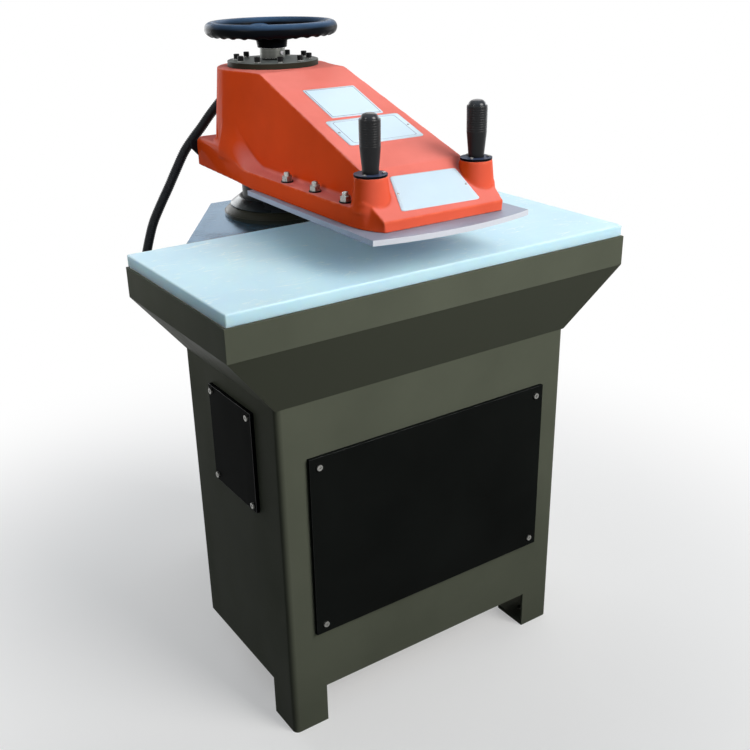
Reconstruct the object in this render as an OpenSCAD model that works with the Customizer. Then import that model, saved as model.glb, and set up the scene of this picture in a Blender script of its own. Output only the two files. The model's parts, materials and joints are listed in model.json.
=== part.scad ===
// Floor-standing swing-arm cutting press: cabinet, table, column, swinging arm and handwheel
// Millimetres. Z is up and the front of the machine faces -Y
// The origin is on the floor, under the middle of the machine

/* [Table] */
// Width of the table's rim
table_w = 900; // [860:2:960]
// Depth of the table's rim, front to back
table_d = 420; // [400:2:440]
// Height of the rim's top edge above the floor
table_h = 920; // [890:2:960]
// Height of the rim's upright band
rim_h = 60; // [50:1:75]
// Thickness of the steel bed plate
bed_t = 30; // [24:1:36]
// Thickness of the cutting board
board_t = 24; // [18:1:34]
// Distance of the board's ends from the rim's ends
board_inset = 4; // [2:0.5:8]

/* [Cabinet] */
// How far the rim stands out beyond the cabinet's sides
side_over = 106; // [90:1:124]
// How far the cabinet's front stands behind the rim's front
front_setback = 48; // [36:1:60]
// Height of the flare between cabinet and rim
flare_h = 132; // [110:1:150]
// Thickness of the cabinet's sheet
sheet = 5; // [4:0.5:7]
// Radius of the cabinet's upright front edges
corner_r = 12; // [9:0.5:18]
// Height of the space between the legs
leg_h = 88; // [74:1:100]
// Width of a leg, seen from the front
leg_w = 78; // [64:1:92]
// Depth of a leg, seen from the side
leg_d = 83; // [66:1:96]
// Width of the rear casing at its back
rear_w = 198; // [184:2:230]
// Distance from the column's axis to the casing's back
rear_reach = 165; // [160:1:180]
// Thickness of the foot plates and the floor tray
foot_t = 10; // [8:1:14]
// Radius of the anchor holes in the feet
anchor_r = 7; // [5:0.5:9]

/* [Covers] */
// Distance from the cabinet's sides to the front cover
cover_side = 58; // [44:1:84]
// Height of the front cover
cover_h = 390; // [350:2:420]
// Distance from the flare down to the front cover's top edge
cover_drop = 111; // [90:1:130]
// Width of the side cover
side_cover_w = 174; // [150:1:190]
// Height of the side cover
side_cover_h = 210; // [180:1:230]
// Distance from the flare down to the side cover's top edge
side_cover_drop = 36; // [24:1:56]
// Distance from the cabinet's front to the side cover
side_cover_y = 88; // [70:1:110]
// How far a cover stands out from the sheet
cover_t = 8; // [6:0.5:12]
// Thickness of a cover's sheet
cover_sheet = 2.5; // [2:0.1:4]
// Distance of a cover's screws from its edges
cover_screw_in = 20; // [16:1:26]

/* [Column and press cylinder] */
// Radius of the column
col_r = 85; // [80:0.5:88]
// Radius of the hollow in the column
col_hollow_r = 60; // [56:0.5:64]
// Distance from the table's rear edge to the column's axis
col_setback = 202; // [196:1:215]
// Wall of the column's bushes
bush_t = 12; // [9:0.5:14]
// Wall of the column's guide tube
guide_t = 13; // [10:0.5:16]
// Length of a bush
bush_len = 110; // [90:1:130]
// Working stroke of the press
stroke = 40; // [30:1:44]
// Radius of the press cylinder's bore
piston_r = 60; // [52:0.5:64]
// Radius of the piston rod
rod_r = 30; // [25:0.5:34]
// Running clearance between pieces that move, per side
run_gap = 0.05; // [0.03:0.01:0.08]

/* [Arm] */
// Distance from the column's axis to the platen's front
arm_reach = 658; // [640:1:676]
// Gap between cutting board and platen with the arm raised
daylight = 66; // [62:1:76]
// Thickness of the platen
platen_t = 10; // [8:0.5:14]
// Width of the platen at its front
platen_w = 347; // [338:1:358]
// Width of the casting's skirt
skirt_w = 314; // [308:1:320]
// Height of the casting's skirt
skirt_h = 35; // [30:1:40]
// Height of the casting
arm_h = 220; // [206:1:232]
// Width of the casting's flat top
top_w = 202; // [194:1:210]
// Draft angle of the casting's walls
draft = 5.45; // [4:0.05:7]
// Radius of the boss about the column, at the top
boss_r = 120; // [117:0.5:124]
// Radius of the trumpet fillet between boss and ledge
flare_r = 90; // [76:1:100]
// Radius of the fillet between wedge and ledge
wedge_fillet = 10; // [6:0.5:14]
// Wall of the casting
cast_t = 20; // [16:1:24]
// Height lost by the sloping top from plateau to nose
slope_drop = 132; // [122:1:140]
// How far the arm can be raised from here
lift_up = 45; // [30:1:48]
// How far the arm can be lowered from here
lift_down = 15; // [8:1:18]

/* [Handles] */
// Distance of a handle from the middle of the arm
handle_x = 117.5; // [112:0.5:120]
// Distance of the handles behind the platen's front
handle_back = 110; // [105:1:116]
// Height of a handle's lug above the casting's underside
lug_h = 87; // [80:1:94]
// Radius of a lug at its top
lug_r = 30; // [27:0.5:32]
// Length of a grip
grip_len = 93; // [84:1:104]
// Largest radius of a grip
grip_r = 19.2; // [18:0.1:21]
// Travel of a push button
button_travel = 4; // [2:0.5:5]

/* [Top] */
// Radius of the top flange
flange_r = 97.5; // [93:0.5:102]
// Thickness of the top flange
flange_t = 11.5; // [8:0.5:14]
// Number of cap screws in the top flange
flange_screws_n = 10; // [8:1:12]
// Radius of the cap screws' circle
flange_circle_r = 78; // [76:0.5:80]
// Radius of the adjusting screw
screw_r = 20; // [17:0.5:22]
// Radius of the handwheel
wheel_r = 141; // [125:1:155]
// Height of the handwheel's rim middle above the flange
wheel_z = 65.5; // [62:0.5:72]
// Number of finger swells under the handwheel's rim
swells = 30; // [24:1:40]

/* [Hose] */
// Radius of the hose over its ribs
hose_r = 11; // [9:0.5:12]
// Depth of the grooves between the ribs
rib_depth = 1; // [0.6:0.1:1.4]
// Number of ribs
ribs = 90; // [60:1:110]

/* [Hidden] */
$fn = 64;
eps = 1;
// Positions in plan
col_y = (arm_reach - rear_reach) / 2;
rear_y = col_y + rear_reach;
table_y1 = col_y - col_setback;
table_y0 = table_y1 - table_d;
cab_y0 = table_y0 + front_setback;
rim_x = table_w / 2;
cab_x = rim_x - side_over;
rear_x = rear_w / 2;
// Run of the casing's slanting walls, and their sheet measured along X
slant_dx = cab_x - rear_x;
slant_dy = rear_y - table_y1;
slant_len = sqrt(slant_dx * slant_dx + slant_dy * slant_dy);
slant_sheet = sheet * slant_len / slant_dy;
slant_n = [-slant_dy / slant_len, slant_dx / slant_len, 0];
// Heights
rim_z = table_h - rim_h;
flare_z = rim_z - flare_h;
cover_w = 2 * (cab_x - cover_side);
cover_z = flare_z - cover_drop - cover_h;
side_cover_z = flare_z - side_cover_drop - side_cover_h;
tray_t = foot_t * 0.6;
tray_z = leg_h + tray_t;
bed_z = table_h - bed_t;
board_z = table_h + board_t;
arm_z = board_z + daylight + platen_t;
ledge_z = arm_z + skirt_h;
top_z = arm_z + arm_h;
// Column and cylinder
guide_bore_r = col_r + bush_t;
guide_r = guide_bore_r + guide_t;
head_t = 25;
piston_t = 50;
barrel_spare = 130;
barrel_len = stroke + piston_t + barrel_spare;
barrel_t = 15;
cyl_base_t = 20;
base_gap = 71;
barrel_z = tray_z + base_gap + cyl_base_t;
head_z = barrel_z + barrel_len + head_t;
foot_ring_t = 12;
col_z = head_z + stroke + foot_ring_t + 8;
rod_head_t = 20;
washer_t = 2;
plug_t = 26;
web_t = 28;
web_z = top_z - web_t;
nut_flange_t = 12;
col_top_z = web_z - lift_down - 5 - nut_flange_t;
nut_len = 90;
piston_z = barrel_z + barrel_len - 20 - piston_t;
// Arm casting: walls lean in by the draft angle
lean = tan(draft);
lean_n = sqrt(1 + lean * lean);
wedge_x = top_w / 2 + lean * (top_z - ledge_z);
boss_foot_r = boss_r + lean * (top_z - ledge_z);
nose_y = 48 - arm_reach;
nose_z = arm_z + 17;
nose_top_y = nose_y + 101;
nose_top_z = top_z - slope_drop;
slope_y = -127;
plateau_y = 60;
tail_y = 141;
tail_z = arm_z + 64;
tail_front_y = 10;
skirt_x = skirt_w / 2;
skirt_front_y = nose_y + 78;
skirt_rear_y = -142;
front_arc_r = 135;
stud_x = skirt_x - 17;
stud_r = 6;
stud_pitch = 105;
stud_y0 = nose_y + 110;
platen_rear_y = -167;
spigot_r = 62;
keyway_w = 16;
key_len = 90;
key_z = col_top_z - 110;
// Top of the machine
flange_z = top_z + flange_t;
flange_turn = 1;
ring_t = 3.5;
collar_t = 21.5;
collar_r = 27;
hub_r = 33;
hub_z = flange_z + ring_t + collar_t;
rim_mid_z = flange_z + wheel_z;
rim_half = 14;
rim_r = wheel_r - rim_half;
spindle_r = 14;
gap_turn = 16;
// Handles
lug_z = arm_z + lug_h;
handle_y = col_y + handle_back - arm_reach;
disc_t = 4;
grip_z = lug_z + disc_t;
grip_top = grip_z + grip_len;
button_r = grip_r - 2.6;
button_seat = 14;
switch_r = 9;
// Hose
hose_bore_r = hose_r - rib_depth - 2;
hose_y = tail_y + hose_r + 1;
gland_len = 30;
port_z = top_z - 48;
port_x = -18;
port_dir = [-0.72, 0, -0.69] / norm([0.72, 0, 0.69]);
port_c = [port_x, hose_y, port_z];
gland_run = 272;
wall_y = table_y1 + gland_run;
wall_x = -(cab_x - slant_dx * gland_run / slant_dy);
wall_z = table_h - 210;
wall_c = [wall_x, wall_y, wall_z];
hose_bend_r = 90;

// Small helpers

// A ring or tube with its foot at height z
module tube(r_out, r_in, z, h) {
  translate([0, 0, z])
    difference() {
      cylinder(r = r_out, h = h);
      translate([0, 0, -eps])
        cylinder(r = r_in, h = h + 2 * eps);
    }
}

// Everything about the column's axis
module at_column() {
  translate([0, col_y, 0])
    children();
}

// A flat shape drawn in XZ, drawn out along Y from y0 to y1
module along_y(y0, y1) {
  translate([0, y1, 0])
    rotate([90, 0, 0])
      linear_extrude(height = y1 - y0)
        children();
}

// A flat shape drawn in YZ, drawn out along X from x0 to x1
module along_x(x0, x1) {
  translate([x0, 0, 0])
    rotate([90, 0, 90])
      linear_extrude(height = x1 - x0)
        children();
}

// A box between two corners
module block(a, b) {
  translate(a)
    cube(b - a);
}

// Turns the Z axis to the direction d
module aim(d) {
  rotate([0, acos(d[2] / norm(d)), atan2(d[1], d[0])])
    children();
}

// A pipe of straight runs with round corners
module pipe_run(points, r) {
  for (i = [0 : len(points) - 2])
    translate(points[i])
      aim(points[i + 1] - points[i])
        cylinder(r = r, h = norm(points[i + 1] - points[i]), $fn = 24);
  for (i = [1 : 1 : len(points) - 2])
    translate(points[i])
      sphere(r = r, $fn = 24);
}

// A socket cap screw with its head's underside at the origin, pointing down
module cap_screw(shank_r, shank_len, head_r, head_h) {
  difference() {
    union() {
      cylinder(r = head_r, h = head_h, $fn = 32);
      translate([0, 0, -shank_len])
        cylinder(r = shank_r, h = shank_len + eps / 2, $fn = 32);
    }
    translate([0, 0, head_h * 0.45])
      cylinder(r = head_r * 0.58, h = head_h, $fn = 6);
  }
}

// A pan-head screw with a cross slot, its head's underside at the origin, pointing down
module pan_screw(shank_r, shank_len, head_r, head_h) {
  difference() {
    union() {
      cylinder(r = head_r, h = head_h, $fn = 32);
      translate([0, 0, -shank_len])
        cylinder(r = shank_r, h = shank_len + eps / 2, $fn = 32);
    }
    for (a = [0, 90])
      rotate([0, 0, a])
        translate([-head_r * 0.6, -head_r * 0.13, head_h * 0.5])
          cube([head_r * 1.2, head_r * 0.26, head_h]);
  }
}

// Cabinet and table

// The cabinet's plan with round front edges, drawn in by g
module cab_plan(g) {
  r = corner_r - g;
  x = cab_x - g;
  y = cab_y0 + g;
  union() {
    translate([-x + r, y])
      square([2 * (x - r), table_y1 - y]);
    translate([-x, y + r])
      square([2 * x, table_y1 - y - r]);
    for (s = [-1, 1])
      translate([s * (x - r), y + r])
        circle(r = r);
  }
}

// The rim and flare as one block, drawn in by g, from height z0 to z1
module table_block(g, z0, z1, y1) {
  intersection() {
    along_y(table_y0 - eps, y1)
      polygon([
        [-(rim_x - g), z1],
        [-(rim_x - g), rim_z],
        [-(cab_x - g), flare_z],
        [-(cab_x - g), z0],
        [cab_x - g, z0],
        [cab_x - g, flare_z],
        [rim_x - g, rim_z],
        [rim_x - g, z1]
      ]);
    along_x(-rim_x, rim_x)
      polygon([
        [table_y0 + g, z1],
        [table_y0 + g, rim_z],
        [cab_y0 + g, flare_z],
        [cab_y0 + g, z0],
        [y1, z0],
        [y1, z1]
      ]);
  }
}

// The casing's plan, drawn in by the sheet when inner is 1
module casing_plan(inner) {
  sx = inner * slant_sheet;
  y1 = rear_y - inner * sheet;
  x1 = rear_x + slant_dx * inner * sheet / slant_dy - sx;
  polygon([
    [-(cab_x - sx), table_y1],
    [cab_x - sx, table_y1],
    [x1, y1],
    [-x1, y1]
  ]);
}

// Places of the covers' screws, for a cover of width w and height h about its middle
function corner_places(w, h) = [
  for (x = [-1, 1], z = [-1, 1]) [x * (w / 2 - cover_screw_in), z * (h / 2 - cover_screw_in)]
];
cover_mid_z = cover_z + cover_h / 2;
side_mid_y = cab_y0 + side_cover_y + side_cover_w / 2;
side_mid_z = side_cover_z + side_cover_h / 2;
side_screw_in = cover_screw_in * 0.6;
function side_places() = [
  for (y = [-1, 1], z = [-1, 1])
    [y * (side_cover_w / 2 - side_screw_in), z * (side_cover_h / 2 - side_screw_in)]
];
cover_lap = 32;
cover_screw_r = 3;

module cabinet() {
  color([0.22, 0.23, 0.19])
    difference() {
      union() {
        table_block(0, flare_z, table_h, table_y1);
        linear_extrude(height = flare_z)
          cab_plan(0);
      }
      table_block(sheet, flare_z - eps, table_h + eps, table_y1 - sheet);
      translate([0, 0, -eps])
        linear_extrude(height = flare_z + 2 * eps)
          cab_plan(sheet);
      block(
        [-(cab_x - sheet), table_y1 - 2 * sheet, flare_z - eps],
        [cab_x - sheet, table_y1 + eps, table_h + eps]
      );
      block([-(cab_x - leg_w), cab_y0 - eps, -eps], [cab_x - leg_w, cab_y0 + sheet + eps, leg_h]);
      block([-cab_x - eps, cab_y0 + leg_d, -eps], [cab_x + eps, table_y1 + eps, leg_h]);
      block(
        [-(cover_w / 2 - cover_lap), cab_y0 - eps, cover_z + cover_lap],
        [cover_w / 2 - cover_lap, cab_y0 + sheet + eps, cover_z + cover_h - cover_lap]
      );
      block(
        [-cab_x - eps, cab_y0 + side_cover_y + cover_lap, side_cover_z + cover_lap],
        [-cab_x + sheet + eps, cab_y0 + side_cover_y + side_cover_w - cover_lap,
          side_cover_z + side_cover_h - cover_lap]
      );
      for (p = corner_places(cover_w, cover_h))
        translate([p[0], cab_y0 - eps, cover_mid_z + p[1]])
          rotate([-90, 0, 0])
            cylinder(r = cover_screw_r, h = sheet + 2 * eps, $fn = 32);
      for (p = side_places())
        translate([-cab_x - eps, side_mid_y + p[0], side_mid_z + p[1]])
          rotate([0, 90, 0])
            cylinder(r = cover_screw_r, h = sheet + 2 * eps, $fn = 32);
    }
}

rear_leg_w = rear_x * 0.55;

module rear_casing() {
  color([0.22, 0.23, 0.19])
    difference() {
      linear_extrude(height = bed_z)
        casing_plan(0);
      translate([0, 0, -eps])
        linear_extrude(height = bed_z + 2 * eps)
          casing_plan(1);
      block([-cab_x - eps, table_y1 - eps, -eps], [cab_x + eps, rear_y - leg_d, leg_h]);
      block([-(rear_x - rear_leg_w), table_y1, -eps], [rear_x - rear_leg_w, rear_y + eps, leg_h]);
      translate(wall_c)
        aim(slant_n)
          cylinder(r = hose_r + 3, h = 4 * sheet, center = true);
    }
}

front_anchor = [cab_x - (leg_w + sheet) / 2, cab_y0 + (leg_d + sheet) / 2];
rear_anchor = [rear_x - 15, rear_y - leg_d * 0.55];

module foot_plates() {
  color([0.22, 0.23, 0.19]) {
    for (s = [-1, 1])
      difference() {
        linear_extrude(height = foot_t)
          intersection() {
            cab_plan(sheet);
            translate([s * (cab_x - leg_w / 2) - leg_w / 2, cab_y0])
              square([leg_w, leg_d]);
          }
        translate([s * front_anchor[0], front_anchor[1], -eps])
          cylinder(r = anchor_r, h = foot_t + 2 * eps);
      }
    for (s = [-1, 1])
      difference() {
        linear_extrude(height = foot_t)
          intersection() {
            casing_plan(1);
            translate([s * (rear_x - rear_leg_w + cab_x / 2) - cab_x / 2, rear_y - leg_d])
              square([cab_x, leg_d]);
          }
        translate([s * rear_anchor[0], rear_anchor[1], -eps])
          cylinder(r = anchor_r, h = foot_t + 2 * eps);
      }
  }
}

module floor_tray() {
  color([0.2, 0.21, 0.18])
    translate([0, 0, leg_h])
      linear_extrude(height = tray_t)
        union() {
          cab_plan(sheet);
          casing_plan(1);
        }
}

module bed_plate() {
  color([0.55, 0.55, 0.56])
    difference() {
      translate([0, 0, bed_z])
        linear_extrude(height = bed_t)
          polygon([
            [-(rim_x - sheet), table_y0 + sheet],
            [rim_x - sheet, table_y0 + sheet],
            [rim_x - sheet, table_y1 - sheet],
            [cab_x - sheet, table_y1 - sheet],
            [cab_x - sheet, table_y1],
            [cab_x, table_y1],
            [rear_x, rear_y],
            [-rear_x, rear_y],
            [-cab_x, table_y1],
            [-(cab_x - sheet), table_y1],
            [-(cab_x - sheet), table_y1 - sheet],
            [-(rim_x - sheet), table_y1 - sheet]
          ]);
      at_column()
        translate([0, 0, bed_z - eps])
          cylinder(r = guide_bore_r, h = bed_t + 2 * eps);
    }
}

module cutting_board() {
  color([0.9, 0.93, 0.95])
    block(
      [-(rim_x - board_inset), table_y0 + board_inset / 2, table_h],
      [rim_x - board_inset, table_y1, board_z]
    );
}

// Covers, each a folded tray

// A tray of width w and height h, its open side on Y = 0 and its face at -cover_t
module cover_tray(w, h, places) {
  difference() {
    block([-w / 2, -cover_t, -h / 2], [w / 2, 0, h / 2]);
    difference() {
      block(
        [-(w / 2 - cover_sheet), -(cover_t - cover_sheet), -(h / 2 - cover_sheet)],
        [w / 2 - cover_sheet, eps, h / 2 - cover_sheet]
      );
      for (p = places)
        translate([p[0], eps, p[1]])
          rotate([90, 0, 0])
            cylinder(r = 3 * cover_screw_r, h = cover_t + eps);
    }
    for (p = places)
      translate([p[0], eps, p[1]])
        rotate([90, 0, 0])
          cylinder(r = cover_screw_r, h = cover_t + 2 * eps, $fn = 32);
  }
}

module cover_screws(places) {
  for (p = places)
    translate([p[0], -cover_t, p[1]])
      rotate([90, 0, 0])
        pan_screw(cover_screw_r, cover_t + sheet + 4, 2 * cover_screw_r, 1.3 * cover_screw_r);
}

module front_cover() {
  color([0.05, 0.05, 0.05])
    translate([0, cab_y0, cover_mid_z])
      cover_tray(cover_w, cover_h, corner_places(cover_w, cover_h));
}

module front_cover_screws() {
  color([0.7, 0.7, 0.7])
    translate([0, cab_y0, cover_mid_z])
      cover_screws(corner_places(cover_w, cover_h));
}

module side_cover() {
  color([0.05, 0.05, 0.05])
    translate([-cab_x, side_mid_y, side_mid_z])
      rotate([0, 0, -90])
        cover_tray(side_cover_w, side_cover_h, side_places());
}

module side_cover_screws() {
  color([0.7, 0.7, 0.7])
    translate([-cab_x, side_mid_y, side_mid_z])
      rotate([0, 0, -90])
        cover_screws(side_places());
}

// Column guide and press cylinder

head_lip = 32;
head_r = guide_r + head_lip;
head_screw_r = 7;
head_circle = guide_r + head_lip / 2;
lip_t = 20;

module column_guide() {
  color([0.3, 0.3, 0.3])
    at_column()
      difference() {
        union() {
          tube(guide_r, guide_bore_r, head_z, bed_z - head_z);
          tube(head_r, guide_bore_r, head_z, lip_t);
        }
        for (a = [0 : 60 : 300])
          rotate([0, 0, a])
            translate([head_circle, 0, head_z - eps])
              cylinder(r = head_screw_r, h = lip_t + 2 * eps, $fn = 32);
      }
}

module upper_bush() {
  color([0.7, 0.55, 0.25])
    at_column()
      tube(guide_bore_r, col_r + run_gap, table_h - bush_len, bush_len);
}

module lower_bush() {
  color([0.7, 0.55, 0.25])
    at_column()
      tube(guide_bore_r, col_r + run_gap, col_z + 10, bush_len);
}

cone_z = table_h + 13;
module dust_collar() {
  color([0.16, 0.16, 0.16])
    at_column()
      rotate_extrude($fn = 96)
        polygon([
          [col_r + 3, table_h],
          [guide_bore_r + 31, table_h],
          [guide_bore_r + 31, table_h + 3],
          [guide_bore_r + 30, table_h + 4],
          [guide_bore_r + 29.5, table_h + 5.5],
          [guide_bore_r + 21.5, cone_z],
          [guide_bore_r + 15, cone_z],
          [guide_bore_r + 15, cone_z + 2],
          [guide_bore_r + 20.5, cone_z + 2],
          [guide_bore_r + 20.5, cone_z + 4.5],
          [guide_bore_r + 18.5, cone_z + 6],
          [col_r + 8, cone_z + 27],
          [col_r + 5.5, cone_z + 27],
          [col_r + 5.5, cone_z + 15],
          [col_r + 3, cone_z + 15]
        ]);
}

module wiper_ring() {
  color([0.06, 0.06, 0.06])
    at_column()
      tube(col_r + 5.5, col_r + run_gap, cone_z + 15, 12);
}

module cylinder_head() {
  color([0.3, 0.3, 0.32])
    at_column()
      difference() {
        tube(head_r, rod_r + run_gap, head_z - head_t, head_t);
        for (a = [0 : 60 : 300])
          rotate([0, 0, a])
            translate([head_circle, 0, head_z - head_t - eps])
              cylinder(r = head_screw_r, h = head_t + 2 * eps, $fn = 32);
      }
}

module head_screws() {
  color([0.1, 0.1, 0.1])
    at_column()
      for (a = [0 : 60 : 300])
        rotate([0, 0, a])
          translate([head_circle, 0, head_z - head_t])
            rotate([180, 0, 0])
              cap_screw(head_screw_r, head_t + lip_t, 1.5 * head_screw_r, 2 * head_screw_r);
}

module cylinder_barrel() {
  color([0.25, 0.25, 0.27])
    at_column()
      difference() {
        tube(piston_r + barrel_t, piston_r, barrel_z, barrel_len);
        for (z = port_heights)
          translate([0, -piston_r - barrel_t, z])
            rotate([90, 0, 0])
              cylinder(r = pipe_r, h = 3 * barrel_t, center = true, $fn = 24);
      }
}

module cylinder_base() {
  color([0.25, 0.25, 0.27])
    at_column()
      translate([0, 0, barrel_z - cyl_base_t])
        cylinder(r = piston_r + barrel_t + 8, h = cyl_base_t);
}

module piston() {
  color([0.6, 0.6, 0.6])
    at_column()
      tube(piston_r - run_gap, rod_r, piston_z, piston_t);
}

rod_top_z = col_z + washer_t + run_gap;
module piston_rod() {
  color([0.75, 0.75, 0.76])
    at_column() {
      translate([0, 0, piston_z])
        cylinder(r = rod_r, h = rod_top_z - piston_z + 2);
      translate([0, 0, rod_top_z])
        cylinder(r = col_hollow_r - 4, h = rod_head_t);
    }
}

module thrust_washers() {
  color([0.7, 0.55, 0.25])
    at_column() {
      tube(col_hollow_r - 4, rod_r + 1, col_z, washer_t);
      tube(col_hollow_r - 4, rod_r + 1, rod_top_z + rod_head_t + run_gap, washer_t);
    }
}

plug_z = rod_top_z + rod_head_t + run_gap + washer_t;

module column() {
  color([0.2, 0.2, 0.2])
    at_column()
      difference() {
        tube(col_r, col_hollow_r, col_z, col_top_z - col_z);
        translate([-keyway_w / 2, col_r - 6, key_z])
          cube([keyway_w, 12, key_len]);
        for (a = [0 : 60 : 300])
          rotate([0, 0, a])
            translate([foot_circle, 0, col_z - eps])
              cylinder(r = foot_screw_r, h = foot_screw_len + 2 * eps, $fn = 24);
      }
}
foot_circle = (col_r + col_hollow_r) / 2;
foot_screw_r = 4;
foot_screw_len = 22;
foot_head_r = 1.6 * foot_screw_r;
foot_head_h = 7;
foot_shank_len = foot_ring_t - foot_head_h + foot_screw_len;

module column_foot() {
  color([0.3, 0.3, 0.3])
    at_column()
      difference() {
        tube(col_r - 1, rod_r + 1, col_z - foot_ring_t, foot_ring_t);
        for (a = [0 : 60 : 300])
          rotate([0, 0, a])
            translate([foot_circle, 0, col_z - foot_ring_t - eps]) {
              cylinder(r = foot_screw_r, h = foot_ring_t + 2 * eps, $fn = 24);
              cylinder(r = foot_head_r + 0.1, h = foot_head_h + eps, $fn = 24);
            }
      }
}

module foot_screws() {
  color([0.1, 0.1, 0.1])
    at_column()
      for (a = [0 : 60 : 300])
        rotate([0, 0, a])
          translate([foot_circle, 0, col_z - foot_ring_t + foot_head_h])
            rotate([180, 0, 0])
              cap_screw(foot_screw_r, foot_shank_len, foot_head_r, foot_head_h - 0.5);
}

module column_plug() {
  color([0.3, 0.3, 0.3])
    at_column()
      translate([0, 0, plug_z])
        cylinder(r = col_hollow_r, h = plug_t);
}

module screw_nut() {
  color([0.7, 0.55, 0.25])
    at_column()
      difference() {
        union() {
          tube(col_hollow_r, screw_r + run_gap, col_top_z - nut_len, nut_len + eps);
          tube(col_r - 1, screw_r + run_gap, col_top_z, nut_flange_t);
        }
      }
}

module feather_key() {
  color([0.5, 0.5, 0.5])
    at_column()
      translate([-keyway_w / 2, col_r - 6, key_z])
        cube([keyway_w, 12, key_len]);
}

// Arm casting

// The skirt's outline about the column's axis
module skirt_plan() {
  arc_x = skirt_x - front_arc_r;
  union() {
    polygon([
      [-skirt_x, skirt_front_y],
      [skirt_x, skirt_front_y],
      [skirt_x, skirt_rear_y],
      [skirt_x - 9, skirt_rear_y + 39],
      [skirt_x - 26, tail_y],
      [-(skirt_x - 26), tail_y],
      [-(skirt_x - 9), skirt_rear_y + 39],
      [-skirt_x, skirt_rear_y]
    ]);
    intersection() {
      union() {
        for (s = [-1, 1])
          translate([s * arc_x, skirt_front_y])
            circle(r = front_arc_r, $fn = 128);
        translate([-arc_x, nose_y])
          square([2 * arc_x, -nose_y + skirt_front_y]);
      }
      translate([-skirt_x, nose_y])
        square([2 * skirt_x, skirt_front_y - nose_y]);
    }
  }
}

// A fillet of radius r between a leaning wall with its foot at [x, z] and the ledge, and its middle
function fillet_mid(x, z, r) = [x + r * (lean_n - lean), z + r];
function fillet_top(x, z, r) = fillet_mid(x, z, r) - [r / lean_n, r * lean / lean_n];

// The wedge's cross section, with fillets at its feet
module wedge_section() {
  m = fillet_mid(wedge_x, ledge_z, wedge_fillet);
  t = fillet_top(wedge_x, ledge_z, wedge_fillet);
  polygon([
    [-wedge_x, arm_z],
    [wedge_x, arm_z],
    [wedge_x, ledge_z],
    [top_w / 2, top_z],
    [-top_w / 2, top_z],
    [-wedge_x, ledge_z]
  ]);
  for (s = [0, 1])
    mirror([s, 0])
      difference() {
        polygon([[wedge_x - 2, ledge_z - 2], [m[0], ledge_z - 2], m, t, [t[0] - 2, t[1]]]);
        translate(m)
          circle(r = wedge_fillet, $fn = 96);
      }
}

// The casting's side view: plateau, slope, nose and tail, lowered by g
module side_view(g) {
  polygon([
    [nose_y + g, arm_z - g],
    [nose_y + g, nose_z - g],
    [nose_top_y, nose_top_z - g],
    [slope_y, top_z - g],
    [plateau_y, top_z - g],
    [plateau_y, arm_z - g]
  ]);
}

// The boss's half section with the trumpet fillet
module boss_section() {
  m = fillet_mid(boss_foot_r, ledge_z, flare_r);
  t = fillet_top(boss_foot_r, ledge_z, flare_r);
  difference() {
    polygon([[0, arm_z], [m[0], arm_z], m, t, [boss_r, top_z], [0, top_z]]);
    translate(m)
      circle(r = flare_r, $fn = 128);
  }
}

// Flat walls that leave the boss at a tangent and meet the wedge where its slope begins
web_turn = acos(boss_r / norm([top_w / 2, slope_y])) + atan2(slope_y, top_w / 2);
module boss_web() {
  n = [cos(web_turn), sin(web_turn)];
  foot = boss_r + lean * (top_z - ledge_z);
  foot_y = (foot - n[0] * wedge_x) / n[1];
  polyhedron(
    points = [
      [boss_r * n[0], boss_r * n[1], top_z],
      [top_w / 2, slope_y, top_z],
      [-top_w / 2, slope_y, top_z],
      [-boss_r * n[0], boss_r * n[1], top_z],
      [foot * n[0], foot * n[1], ledge_z],
      [wedge_x, foot_y, ledge_z],
      [-wedge_x, foot_y, ledge_z],
      [-foot * n[0], foot * n[1], ledge_z]
    ],
    faces = [[0, 1, 2, 3], [7, 6, 5, 4], [1, 0, 4, 5], [3, 2, 6, 7], [2, 1, 5, 6], [0, 3, 7, 4]]
  );
}

module casting_outside() {
  intersection() {
    union() {
      translate([0, 0, arm_z])
        linear_extrude(height = skirt_h)
          skirt_plan();
      along_y(nose_y, plateau_y)
        wedge_section();
    }
    along_x(-skirt_x - eps, skirt_x + eps)
      union() {
        side_view(0);
        translate([0, arm_z])
          square([tail_y + eps, arm_h]);
      }
  }
  intersection() {
    union() {
      translate([0, 0, arm_z])
        cylinder(r1 = boss_r + lean * arm_h, r2 = boss_r, h = arm_h, $fn = 128);
      intersection() {
        rotate_extrude($fn = 128)
          boss_section();
        block([-2 * skirt_x, nose_y, arm_z - eps], [2 * skirt_x, tail_front_y, top_z + eps]);
      }
    }
    translate([0, 0, arm_z])
      linear_extrude(height = arm_h)
        skirt_plan();
  }
  intersection() {
    translate([0, 0, arm_z])
      linear_extrude(height = tail_z - arm_z)
        skirt_plan();
    block([-skirt_x, tail_front_y, arm_z], [skirt_x, tail_y + eps, tail_z]);
  }
  boss_web();
  for (s = [-1, 1])
    translate([s * handle_x, handle_y - col_y, ledge_z - 8])
      cylinder(r1 = lug_r + lean * (lug_z - ledge_z + 8), r2 = lug_r, h = lug_z - ledge_z + 8);
}

stud_places = [for (s = [-1, 1], i = [0 : 2]) [s * stud_x, stud_y0 + i * stud_pitch]];
disc_screw_r = 2;
disc_circle = lug_r - 7;
disc_places = [
  for (s = [-1, 1], a = [90, 210, 330])
    [s * handle_x + disc_circle * cos(a), handle_y + disc_circle * sin(a)]
];
flange_bolt_r = 4;
cast_hollow_y = -(col_r + cast_t + 45);

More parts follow.
